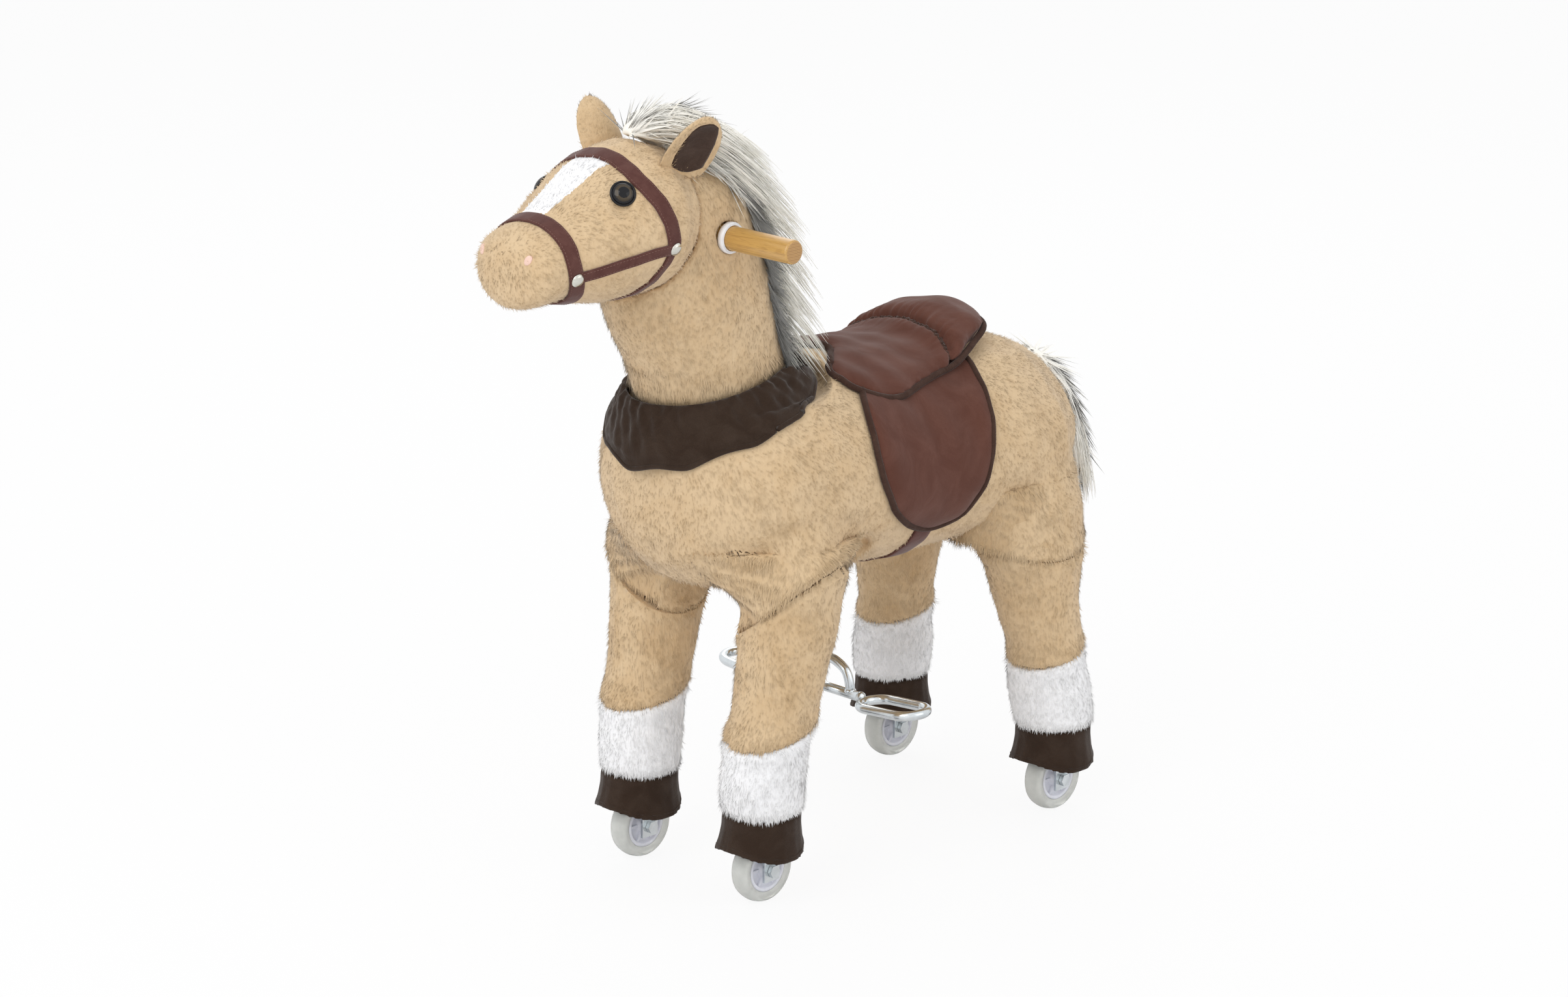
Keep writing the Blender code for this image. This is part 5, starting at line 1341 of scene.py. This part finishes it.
def earLevel(share, wide, half):
    # how far the outer and inner sides stand from the ear's middle sheet
    cup = -ear["cup"] * (1 - wide * wide) * softEdge(share, 0.35) * softEdge(1.02 - share, 0.3)
    return cup + 0.001, ear["thick"] * math.sqrt(max(0.0, 1 - wide * wide)) * min(1.0, half * 90)


ears = {}
earUp = {}
for side, hand in hands:
    look = ear[hand]
    splay, turn = math.radians(look["splay"]), math.radians(look["turn"])
    foot = Vector((side * ear["spread"], ear["y"], ear["z"]))
    up = Vector((side * math.sin(splay), 0, math.cos(splay)))
    flat = Vector((side * math.cos(splay), 0, -math.sin(splay)))
    face = math.cos(turn) * flat - math.sin(turn) * Vector((0, 1, 0))
    across = math.cos(turn) * Vector((0, 1, 0)) + math.sin(turn) * flat
    earUp[hand] = up
    rings = []
    lining = []
    for share in np.linspace(0, 1, 44):
        half = earHalf(share) * look["width"]
        spine = foot + up * (share * look["length"])
        ring = []
        for step in range(30):
            angle = 2 * math.pi * step / 30
            wide = math.cos(angle)
            middle, thick = earLevel(share, wide, half)
            ring.append(spine + across * (half * wide) + face * (middle + math.copysign(thick, math.sin(angle))))
        rings.append(ring)
        if 0.08 < share < 0.94:
            inner = half * ear["lining"] * softEdge(min(share - 0.07, 0.95 - share), 0.10)
            front = []
            for wide in np.linspace(-1, 1, 17):
                spot = (inner * wide + 0.0030) / half
                middle, thick = earLevel(share, spot, half)
                level = middle + thick + 0.0011 * math.sqrt(max(0.0, 1 - wide * wide))
                front.append(spine + across * (half * spot) + face * level)
            lining.append(front + [place - face * 0.0024 for place in front[::-1]])
    ears[hand] = addPiece(f"{hand}EarPlush", ringsMesh(f"{hand}EarPlush", rings), "tanFur", "steering",
                          (f"{hand}_ear",))
    addPiece(f"{hand}EarLining", ringsMesh(f"{hand}EarLining", lining), "earLining", "steering")
print("scene: ears done")


# Plush skin where each leg tube enters the body, with room inside for it to move
stub = {"top": 0.405, "inner": 0.0475, "inset": 0.0009, "skin": 0.0022, "voxel": 0.0036, "slab": 0.010,
        "tail": 0.008, "edge": 0.0006}


def thickSkin(name, mesh, thickness):
    source = bpy.data.objects.new(name + "Source", mesh)
    scene.collection.objects.link(source)
    solid = source.modifiers.new("skin", "SOLIDIFY")
    solid.thickness = thickness
    solid.offset = -1
    made = evaluated(source)
    bpy.data.objects.remove(source)
    made.materials.clear()
    smoothShade(made)
    return made


# each stub's outer surface, where its tufts may grow
outside = {}


def stubCover(corner):
    end = corner.split("_")[0]
    side = 1 if wheelPlace[corner].x > 0 else -1
    points = arraysOf(torso.data)[0]
    chosen = inLegZone(points, end) & (points[:, 0] * side > stub["inner"]) & (points[:, 2] < stub["top"])
    chosen &= seamReach(points, end) < 0
    centre = np.array(steerPoint if end == "front" else rearHinge)
    flat = np.array((1, 1, 1) if end == "front" else (0, 1, 1))

    def spokes(places):
        made = (places - centre) * flat
        return made / np.linalg.norm(made, axis=1)[:, None]

    near = chosen & (seamReach(points, end) > -stub["tail"] * 1.5)
    points = np.vstack([points[chosen], points[near] + spokes(points[near]) * stub["tail"]])
    data = bmesh.new()
    height = points[:, 2].min()
    while height < stub["top"]:
        slab = np.abs(points[:, 2] - height - stub["slab"]) < stub["slab"] * 1.4
        if slab.sum() > 8:
            added = [data.verts.new(place) for place in points[slab]]
            bmesh.ops.convex_hull(data, input=added)
        height += stub["slab"]
    bmesh.ops.delete(data, geom=[vertex for vertex in data.verts if not vertex.link_faces], context="VERTS")
    mesh = voxelMesh("stubSource", bmeshToMesh(f"{corner}StubCover", data), stub["voxel"])
    points, edges = arraysOf(mesh)
    placePoints(mesh, relax(points, edges, 8, np.ones(len(points))))
    reshape(mesh, lambda points: np.full(len(points), -stub["inset"]))
    data = bmesh.new()
    data.from_mesh(mesh)
    reach = seamReach(np.array([tuple(face.calc_center_median()) for face in data.faces]), end)
    past = [face for face, far in zip(data.faces, reach) if far > -stub["edge"]]
    bmesh.ops.delete(data, geom=past, context="FACES")
    rim = [vertex for vertex in data.verts if vertex.is_boundary]
    places = np.array([tuple(vertex.co) for vertex in rim])
    places -= spokes(places) * (seamReach(places, end) + stub["edge"])[:, None]
    for vertex, place in zip(rim, places):
        vertex.co = place
    outside[corner] = BVHTree.FromBMesh(data)
    data.to_mesh(mesh)
    data.free()
    mesh = thickSkin(f"{corner}StubCover", mesh, stub["skin"])
    return addPiece(f"{corner}StubCover", mesh, "tanFur", "chassis")


stubs = {corner: stubCover(corner) for corner in corners}

# A small plush tab sewn under the chest
tab = {"y": -0.109, "halfX": 0.0085, "halfY": 0.0060, "length": 0.020, "rise": 0.006}
torsoTree = treeOf(torso)
low = torsoTree.ray_cast(Vector((0, tab["y"], 0.05)), Vector((0, 0, 1)))[0]
rings = []
for share in np.linspace(0, 1, 14):
    size = math.sqrt(max(0.0, 1 - max(0.0, (share - 0.45) / 0.55) ** 2.4)) * 0.96 + 0.04
    height = low.z + tab["rise"] - share * (tab["length"] + tab["rise"])
    rings.append([
        Vector((tab["halfX"] * size * math.cos(2 * math.pi * step / 24),
                tab["y"] - 0.002 * share + tab["halfY"] * size * math.sin(2 * math.pi * step / 24), height))
        for step in range(24)
    ])
bellyTab = addPiece("bellyTab", ringsMesh("bellyTab", rings), "tanFur", "chassis")

# Hooves: suede bells that flare to the front, with a fine cord above the hem
hoofLook = {"flare": 0.0075, "hem": 0.0052, "cord": 0.00075}


def flareHoof(points, centre, low, high):
    share = np.clip((high - points[:, 2]) / (high - low), 0, 1)
    forward = np.clip(-(points[:, 1] - centre.y) / 0.045, 0, 1)
    points[:, 1] -= hoofLook["flare"] * share ** 1.4 * forward
    return points


hooves = {}
for corner in corners:
    body = corner.split("_")[0] + "_legs"
    name = f"{corner}HoofBell"
    hoof = softBody(name, f"{corner}_hoof", 0.0022, 14, "suede", body, bulge=0.0006)
    points = arraysOf(hoof.data)[0]
    high = points[:, 2].max()
    points = flareHoof(points, wheelPlace[corner], points[:, 2].min(), high)
    placePoints(hoof.data, points)
    tree = treeOf(hoof)
    edge = []
    centre = wheelPlace[corner]
    for step in range(88):
        turn = 2 * math.pi * step / 88
        out = Vector((math.cos(turn), math.sin(turn), 0))
        height = points[:, 2].min() - 0.004
        found = None
        while found is None and height < high:
            height += 0.0005
            start = Vector((centre.x, centre.y, height)) + out * 0.09
            found = tree.ray_cast(start, -out, 0.09)[0]
            if found is not None and (found - start).length > 0.052:
                found = None
        start = Vector((centre.x, centre.y, height + hoofLook["hem"])) + out * 0.09
        edge.append(tree.ray_cast(start, -out, 0.09)[0] + out * 0.0001)
    path = smoothLoop(np.array([tuple(place) for place in edge]), 6)
    cord = tubeMesh(f"{corner}HoofHem", [Vector(place) for place in path], hoofLook["cord"], 8, closed=True)
    addPiece(cord.name, cord, "suede", body)
    hooves[corner] = hoof
print("scene: hooves done")


# Pile: short tapered tufts laid over the plush
pile = {"length": 0.0076, "width": 0.0012, "rise": 22, "spread": 7, "sink": 0.0012, "perArea": 105000,
        "cover": 0.0055}


def normalise(vectors):
    return vectors / np.maximum(np.linalg.norm(vectors, axis=1), 1e-9)[:, None]


def triangleData(thing):
    mesh = thing.data
    mesh.calc_loop_triangles()
    corners3 = np.empty(len(mesh.loop_triangles) * 3, np.int32)
    mesh.loop_triangles.foreach_get("vertices", corners3)
    return arraysOf(mesh)[0], normalsOf(mesh).astype(float), corners3.reshape(-1, 3)


def openFaces(points, normals, triangles, cover, reach):
    # faces with nothing lying on them
    middle = points[triangles].mean(1)
    facing = normalise(normals[triangles].mean(1))
    free = np.ones(len(triangles), bool)
    for index in range(len(triangles)):
        start = Vector(middle[index] + facing[index] * 0.0004)
        free[index] = cover.ray_cast(start, Vector(facing[index]), reach)[0] is None
    return free


def ripple(points, seed):
    # a smooth wandering direction, the same each run
    x, y, z = points.T
    return np.stack([
        np.sin(71 * y + 53 * z + seed) + 0.7 * np.sin(173 * z - 131 * y + 2 * seed),
        np.sin(67 * z + 49 * x + 2.1 + seed) + 0.7 * np.sin(151 * x + 163 * z + seed),
        np.sin(59 * x + 73 * y + 4.2 + seed) + 0.7 * np.sin(141 * y - 157 * x + 3 * seed),
    ], 1)


def scatter(thing, rng, perArea, free=None, thicker=None):
    points, normals, triangles = triangleData(thing)
    corner = points[triangles]
    area = 0.5 * np.linalg.norm(np.cross(corner[:, 1] - corner[:, 0], corner[:, 2] - corner[:, 0]), axis=1)
    weight = area if free is None else area * free
    if thicker is not None:
        weight = weight * thicker(corner.mean(1))
    count = int(weight.sum() * perArea)
    chosen = rng.choice(len(triangles), count, p=weight / weight.sum())
    first, second = rng.random(count), rng.random(count)
    flip = first + second > 1
    first[flip], second[flip] = 1 - first[flip], 1 - second[flip]
    shares = np.stack([1 - first - second, first, second], 1)
    places = (points[triangles[chosen]] * shares[:, :, None]).sum(1)
    facing = normalise((normals[triangles[chosen]] * shares[:, :, None]).sum(1))
    return places, facing


def tuftMesh(name, places, facing, flow, length, width, rise, sink):
    # closed three-sided tufts: three points at the root and one at the tip
    flow = normalise(flow - facing * (flow * facing).sum(1)[:, None])
    side = np.cross(facing, flow)
    count = len(places)
    root = places - facing * sink
    half = (width * 0.62)[:, None]
    tip = root + (facing * np.sin(rise)[:, None] + flow * np.cos(rise)[:, None]) * length[:, None]
    points = np.stack([root + side * half, root - side * half, root - facing * half * 0.8, tip], 1)
    pattern = np.array(((0, 2, 1), (0, 1, 3), (1, 2, 3), (2, 0, 3)))
    triangles = (np.arange(count)[:, None, None] * 4 + pattern[None]).reshape(-1, 3)
    mesh = meshFromArrays(name, points.reshape(-1, 3), triangles)
    smoothShade(mesh)
    spin = np.repeat(facing[:, None] * 0.9, 4, 1)
    spin[:, 0] += side * 0.45
    spin[:, 1] -= side * 0.45
    spin[:, 3] += flow * 0.15
    mesh.normals_split_custom_set_from_vertices(normalise(spin.reshape(-1, 3)))
    # each tuft has its own small cell in the OFBake UV map
    cells = int(math.ceil(math.sqrt(count)))
    index = np.arange(count)
    origin = np.stack([index % cells, index // cells], 1) / cells
    local = np.array(((0.1, 0.1), (0.9, 0.1), (0.5, 0.3), (0.5, 0.9)))
    layer = mesh.uv_layers.new(name="OFBake")
    corners2 = (origin[:, None] + local[None] / cells).reshape(-1, 2)[triangles.ravel()]
    layer.data.foreach_set("uv", corners2.astype(np.float32).ravel())
    return mesh


def atJoint(places, facing):
    # faces inside the seams where the legs slide
    inside = np.zeros(len(places), bool)
    for end, centre in (("front", steerPoint), ("rear", rearHinge)):
        spoke = places - np.array(centre)
        if end == "rear":
            spoke[:, 0] = 0
        across = np.abs((facing * normalise(spoke)).sum(1)) > 0.86
        inside |= across & (np.abs(seamReach(places, end)) < 0.006) & inLegZone(places, end, 0.01)
    return inside


def addPile(name, thing, nap, finish, body, slotName, seed, cover, look=None, thicker=None, shorter=None, parts=1):
    look = {**pile, **(look or {})}
    rng = np.random.default_rng(seed)
    points, normals, triangles = triangleData(thing)
    free = openFaces(points, normals, triangles, cover, look["cover"])
    free &= ~atJoint(points[triangles].mean(1), normalise(normals[triangles].mean(1)))
    places, facing = scatter(thing, rng, look["perArea"], free, thicker)
    flow = normalise(nap(places)) + 0.18 * ripple(places, seed) + 0.17 * rng.standard_normal(places.shape)
    count = len(places)
    length = look["length"] * (0.68 + 0.64 * rng.random(count)) * (1 + 0.12 * ripple(places, seed + 5)[:, 0])
    if shorter is not None:
        length *= shorter(places)
    width = look["width"] * (0.75 + 0.5 * rng.random(count))
    rise = np.radians(np.clip(look["rise"] + look["spread"] * rng.standard_normal(count), 8, 62))
    order = np.argsort(places[:, 1] if parts > 1 else places[:, 2])
    for part in range(parts):
        chosen = order[part * count // parts:(part + 1) * count // parts]
        label = name if parts == 1 else f"{name}{part + 1}"
        mesh = tuftMesh(label, places[chosen], facing[chosen], flow[chosen], length[chosen], width[chosen],
                        rise[chosen], look["sink"])
        addPiece(label, mesh, finish.replace("Fur", "Tuft"), body)
    return count


def nearEdge(tree, reach, least):
    # shorter tufts beside a strap or the saddle, so that it still shows
    def share(places):
        sizes = np.ones(len(places))
        for index, place in enumerate(places):
            near = tree.find_nearest(Vector(place), reach)[0]
            if near is not None:
                sizes[index] = least + (1 - least) * (Vector(place) - near).length / reach
        return sizes
    return share


napWay = {"torso": (0, 0.45, -0.9), "neck": (0, 0.12, -1.0), "leg": (0, 0.05, -1.0)}


def steady(direction):
    return lambda places: np.tile(np.array(direction, float), (len(places), 1))


def headNap(places):
    # from the nose back over the brow, and down the cheeks
    down = np.clip(np.abs(places[:, 0]) / 0.07, 0, 1)
    return np.stack([places[:, 0] * 3.0, np.full(len(places), 0.9), -0.25 - 0.55 * down], 1)


def seamThicker(places):
    weight = np.ones(len(places))
    for end in ("front", "rear"):
        near = (np.abs(seamReach(places, end)) < 0.008) & inLegZone(places, end, 0.01)
        weight[near] = 3.2
    return weight


strapNames = [name for name, *_ in straps]
strapTree = treeOf(*[bpy.data.objects[name] for name in strapNames])
edgeNames = ("skirtBinding", "girthWebbing")
saddleTree = treeOf(skirt, seat, collarPiece, *[bpy.data.objects[name] for name in edgeNames])
everything = [thing for thing in scene.objects if thing.type == "MESH" and not thing.hide_render]


def coverFor(thing):
    return treeOf(*[other for other in everything if other is not thing])


slotOf = {"tanFur": "tan_plush", "headFur": "tan_plush", "whiteFur": "white_plush"}


def dress(name, thing, nap, finish, body, seed, look=None, **more):
    # a pile over a plush skin, kept off where another piece lies on it
    nap = nap if callable(nap) else steady(nap)
    return addPile(name, thing, nap, finish, body, slotOf[finish], seed, coverFor(thing), look, **more)


headPile = {"length": 0.0066, "width": 0.0011, "rise": 26, "perArea": pile["perArea"] * 1.25}
fringe = {"length": 0.0125, "rise": 12, "spread": 4, "perArea": 3 * pile["perArea"], "cover": 0.010}
stubPile = {"length": 0.0100, "rise": 14, "spread": 5, "perArea": 1.8 * pile["perArea"], "cover": 0.003}
sockPile = {"length": 0.0080, "width": 0.0011, "rise": 24, "perArea": 1.4 * pile["perArea"]}
earPile = {"length": 0.0058, "width": 0.0010, "rise": 24, "perArea": pile["perArea"] * 1.3, "cover": 0.006}
made = dress("torsoPile", torso, napWay["torso"], "tanFur", "chassis", 11, thicker=seamThicker,
             shorter=nearEdge(saddleTree, 0.006, 0.55), parts=4)
for end in ("front", "rear"):
    def atSeam(places, end=end):
        away = seamReach(places, end)
        return (away > -0.0075) & (away < 0.0005) & inLegZone(places, end, 0.01)
    made += dress(f"{end}SeamFringe", torso, napWay["leg"], "tanFur", "chassis", 14, fringe, thicker=atSeam)
for number, corner in enumerate(corners):
    def onOutside(places, tree=outside[corner]):
        near = [tree.find_nearest(Vector(place))[3] < 0.0006 for place in places]
        return seamThicker(places) * np.array(near)
    made += dress(f"{corner}StubPile", stubs[corner], napWay["leg"], "tanFur", "chassis", 15 + number, stubPile,
                  thicker=onOutside)
made += dress("tabPile", bellyTab, napWay["leg"], "tanFur", "chassis", 19, {"length": 0.006})
made += dress("neckPile", neck, napWay["neck"], "tanFur", "steering", 12,
              shorter=lambda places: 1 + 0.45 * (places[:, 2] < 0.605), parts=2)
made += dress("headPile", head, headNap, "headFur", "steering", 13, headPile,
              shorter=nearEdge(strapTree, 0.0065, 0.42), parts=2)
for number, corner in enumerate(corners):
    body = corner.split("_")[0] + "_legs"
    made += dress(f"{corner}LegPile", legs[corner], napWay["leg"], "tanFur", body, 20 + number,
                  thicker=lambda places: 1 + 1.4 * (places[:, 2] < 0.215))
    made += dress(f"{corner}SockPile", socks[corner], napWay["leg"], "whiteFur", body, 30 + number, sockPile,
                  thicker=lambda places: 1 + 2.4 * (places[:, 2] < 0.116))
for number, (side, hand) in enumerate(hands):
    made += dress(f"{hand}EarPile", ears[hand], earUp[hand], "tanFur", "steering", 40 + number, earPile)
print("scene: pile done", made)


# Hair: long strands in locks, over tufts on a soft core

def strandMesh(name, lines, radii, facing):
    # closed three-sided strands, each a row of points that tapers to its end
    count, steps, _ = lines.shape
    along = np.gradient(lines, axis=1)
    along /= np.maximum(np.linalg.norm(along, axis=2), 1e-9)[:, :, None]
    side = np.cross(along, facing[:, None] + 0.1)
    for step in range(steps):
        if step:
            side[:, step] = side[:, step - 1]
        side[:, step] = normalise(side[:, step] - (side[:, step] * along[:, step]).sum(1)[:, None] * along[:, step])
    other = np.cross(along, side)
    points = np.empty((count, steps, 3, 3))
    for corner in range(3):
        turn = 2 * math.pi * corner / 3
        out = math.cos(turn) * side + math.sin(turn) * other
        points[:, :, corner] = lines + out * radii[:, :, None]
    pattern = [(0, 2, 1)]
    for step in range(steps - 1):
        for corner in range(3):
            after = (corner + 1) % 3
            low, high = step * 3, step * 3 + 3
            pattern += [(low + corner, low + after, high + after), (low + corner, high + after, high + corner)]
    last = (steps - 1) * 3
    pattern.append((last, last + 1, last + 2))
    pattern = np.array(pattern)
    triangles = (np.arange(count)[:, None, None] * steps * 3 + pattern[None]).reshape(-1, 3)
    mesh = meshFromArrays(name, points.reshape(-1, 3), triangles)
    cells = int(math.ceil(math.sqrt(count)))
    index = np.arange(count)
    origin = np.stack([index % cells, index // cells], 1) / cells
    local = np.stack([np.tile((0.15, 0.5, 0.85), steps), np.repeat(np.linspace(0.1, 0.9, steps), 3)], 1)
    layer = mesh.uv_layers.new(name="OFBake")
    layer.data.foreach_set("uv", (origin[:, None] + local[None] / cells).reshape(-1, 2)[
        triangles.ravel()].astype(np.float32).ravel())
    return mesh


def areaOf(thing):
    return sum(face.area for face in thing.data.polygons)


def addLocks(name, core, count, guides, flow, length, lift, droop, body, seed, avoid, steps, radius=0.0007,
             parts=1):
    # strands leave the core, bend with the flow and gather round their lock's own strand
    rng = np.random.default_rng(seed)
    places, facing = scatter(core, rng, count / areaOf(core))
    count = len(places)
    own = length(places) * (0.74 + 0.46 * rng.random(count))
    course = normalise(facing * lift + flow(places) + 0.14 * rng.standard_normal((count, 3)))
    bend = 0.12 * rng.standard_normal((count, 3))
    line = [places - facing * 0.002]
    for step in range(steps - 1):
        share = (step + 1) / (steps - 1)
        goal = normalise(flow(line[-1]) + bend * math.sin(5 * share) + np.array((0, 0, -droop * share)))
        course = normalise(course * 0.66 + goal * 0.34)
        line.append(line[-1] + course * (own / (steps - 1))[:, None])
    lines = np.stack(line, 1)
    chosen = rng.choice(count, guides, replace=False)
    gap = np.linalg.norm(places[:, None] - places[None, chosen], axis=2)
    nearest = chosen[gap.argmin(1)]
    shape = lines - lines[:, :1]
    shared = shape[nearest] * (own / own[nearest])[:, None, None]
    shares = np.linspace(0, 1, steps)[None, :, None]
    apart = (lines[:, 0] - lines[nearest, 0])[:, None]
    lines = lines[:, :1] + shape * 0.45 + shared * 0.55 - apart * 0.35 * shares ** 1.3
    proud = 0.0012 + 0.0045 * rng.random(count)
    for strand in range(count):
        for step in range(1, steps):
            place = Vector(lines[strand, step])
            near, normal = avoid.find_nearest(place)[:2]
            if (place - near).dot(normal) < proud[strand]:
                lines[strand, step] = near + normal * proud[strand]
    taper = np.linspace(1.0, 0.0, steps) ** 0.6 * 0.85 + 0.15
    radii = (radius * (0.7 + 0.6 * rng.random(count)))[:, None] * taper[None]
    order = np.argsort(lines[:, 0, 2])
    for part in range(parts):
        some = order[part * count // parts:(part + 1) * count // parts]
        label = name if parts == 1 else f"{name}{part + 1}"
        mesh = strandMesh(label, lines[some], radii[some], facing[some])
        addPiece(label, mesh, "creamHair", body)
    return count


manePath = ((-0.280, 0.848), (-0.262, 0.866), (-0.235, 0.872), (-0.196, 0.860), (-0.158, 0.826), (-0.127, 0.778),
            (-0.104, 0.724), (-0.090, 0.672), (-0.078, 0.630))
mane = {"strands": 1700, "guides": 300, "pollLength": 0.078, "neckLength": 0.084, "part": 0.95, "lean": 0.60}
tail = {"strands": 1100, "guides": 150, "top": 0.0800, "low": 0.038}
maneLine = resample(np.array([(0, y, z) for y, z in manePath]), 0.005, closed=False)
maneAlong = normalise(np.gradient(maneLine, axis=0))


def maneFlow(places):
    nearest = np.linalg.norm(places[:, None, 1:] - maneLine[None, :, 1:], axis=2).argmin(1)
    flow = maneAlong[nearest].copy()
    flow[:, 0] += np.clip(places[:, 0] / 0.022, -1, 1) * mane["part"] + mane["lean"]
    return flow


def maneLength(places):
    back = np.clip((places[:, 1] + 0.25) / 0.07, 0, 1)
    return mane["pollLength"] + (mane["neckLength"] - mane["pollLength"]) * back


def tailFlow(places):
    count = len(places)
    return np.stack([places[:, 0] * 4, np.full(count, 0.10), np.full(count, -1.0)], 1)


def tailLength(places):
    return tail["low"] + (tail["top"] - tail["low"]) * np.clip((places[:, 2] - 0.335) / 0.11, 0, 1)


cores = {}
for node, body, size in (("mane", "steering", -0.0010), ("tail", "chassis", -0.0015)):
    cores[node] = softBody(f"{node}Core", node, 0.0042, 30, "creamHair", body, bulge=0.0016)
    reshape(cores[node].data, lambda points, size=size: np.full(len(points), size))
hairLook = {"length": 0.036, "width": 0.0030, "rise": 13, "spread": 5, "perArea": 62000, "sink": 0.0015}
made = addPile("manePile", cores["mane"], maneFlow, "creamHair", "steering", "cream_hair", 51, treeOf(neck, head),
               hairLook)
made += addPile("maneEdgePile", neck, maneFlow, "creamHair", "steering", "cream_hair", 53, treeOf(head),
                {**hairLook, "length": 0.042, "rise": 16},
                thicker=lambda places: np.linalg.norm(places[:, None] - maneLine[None], axis=2).min(1) < 0.056)
made += addPile("tailPile", cores["tail"], tailFlow, "creamHair", "chassis", "cream_hair", 52, treeOf(torso),
                hairLook)
made += addLocks("maneLocks", cores["mane"], mane["strands"], mane["guides"], maneFlow, maneLength, 0.80, 0.9,
                 "steering", 6, treeOf(neck, head), steps=10, parts=2)
made += addLocks("tailLocks", cores["tail"], tail["strands"], tail["guides"], tailFlow, tailLength, 0.50, 0.6,
                 "chassis", 7, treeOf(torso), steps=8)
print("scene: hair done", made)


# Finishes for the CAD parts that stay
kept = {
    "zinc": ("foot_crossbar", "left_stirrup", "right_stirrup", "pedal_post"),
    "paintedSteel": ("spine_frame", "fork_crown", "front_cross_tube", "rear_cross_tube", "steering_column"),
    "bearing": ("front_hinge_pin", "rear_hinge_pin"),
}
for finish, names in kept.items():
    for node in names:
        nodes[node].data.materials.clear()
        nodes[node].data.materials.append(finishes[finish])
for corner in corners:
    for part in ("leg_tube", "axle_bolt"):
        mesh = nodes[f"{corner}_{part}"].data
        mesh.materials.clear()
        mesh.materials.append(finishes["zinc"])

# Stage: a pale floor, soft studio lamps and the camera
view = {"place": (3.3465, -3.3783, 1.8151), "target": (-0.0445, 0.0093, 0.392), "lens": 102.4}
floorSize = 12.0
lamps = (
    ("keyLamp", (0.6, -3.0, 2.9), 2.4, 46.0),
    ("fillLamp", (3.4, 0.9, 2.0), 2.6, 15.0),
    ("backLamp", (-2.2, 1.8, 2.8), 2.4, 24.0),
)
camera = bpy.data.objects.new("camera", bpy.data.cameras.new("camera"))
scene.collection.objects.link(camera)
camera.location = view["place"]
camera.rotation_euler = (Vector(view["target"]) - Vector(view["place"])).to_track_quat("-Z", "Y").to_euler()
camera.data.lens = view["lens"]
camera.data.sensor_width = 36
camera.data.clip_end = 60
scene.camera = camera

half = floorSize / 2
floorMesh = bpy.data.meshes.new("floor")
floorMesh.from_pydata([(-half, -half, 0), (half, -half, 0), (half, half, 0), (-half, half, 0)], [], [(0, 1, 2, 3)])
floor = bpy.data.objects.new("floor", floorMesh)
scene.collection.objects.link(floor)
floor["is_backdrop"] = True
material, tree, shader = newMaterial("studioFloor", 0.9)
shader.inputs["Base Color"].default_value = (0.86, 0.86, 0.87, 1)
shader.inputs["Specular IOR Level"].default_value = 0.1
glow = tree.add("ShaderNodeEmission", {"Color": (1, 1, 1, 1), "Strength": 1.0}).outputs[0]
seen = tree.add("ShaderNodeLightPath").outputs["Is Camera Ray"]
blended = tree.add("ShaderNodeMixShader", {0: tree.math("MULTIPLY", seen, 0.90), 1: shader.outputs[0], 2: glow})
tree.put(material.node_tree.nodes["Material Output"].inputs["Surface"], blended.outputs[0])
floorMesh.materials.append(material)

world = bpy.data.worlds.new("studio")
scene.world = world
world.use_nodes = True
tree = Tree(world.node_tree)
path = tree.add("ShaderNodeLightPath").outputs
clear = tree.math("ADD", path["Is Camera Ray"], path["Is Glossy Ray"], True)
clear = tree.math("ADD", clear, path["Is Transmission Ray"], True)
strength = tree.math("ADD", 0.80, tree.math("MULTIPLY", clear, 0.20))
background = world.node_tree.nodes["Background"]
background.inputs["Color"].default_value = (1, 1, 1, 1)
tree.put(background.inputs["Strength"], strength)

for name, place, size, power in lamps:
    data = bpy.data.lights.new(name, "AREA")
    data.size = size
    data.energy = power
    lamp = bpy.data.objects.new(name, data)
    scene.collection.objects.link(lamp)
    lamp.location = place
    lamp.rotation_euler = (Vector((0, 0, 0.4)) - Vector(place)).to_track_quat("-Z", "Y").to_euler()

scene.view_settings.view_transform = "Standard"
print("scene: stage done")

sizes = {"cad": [list(corner) for corner in cadBox], "visual": [list(corner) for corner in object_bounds()]}
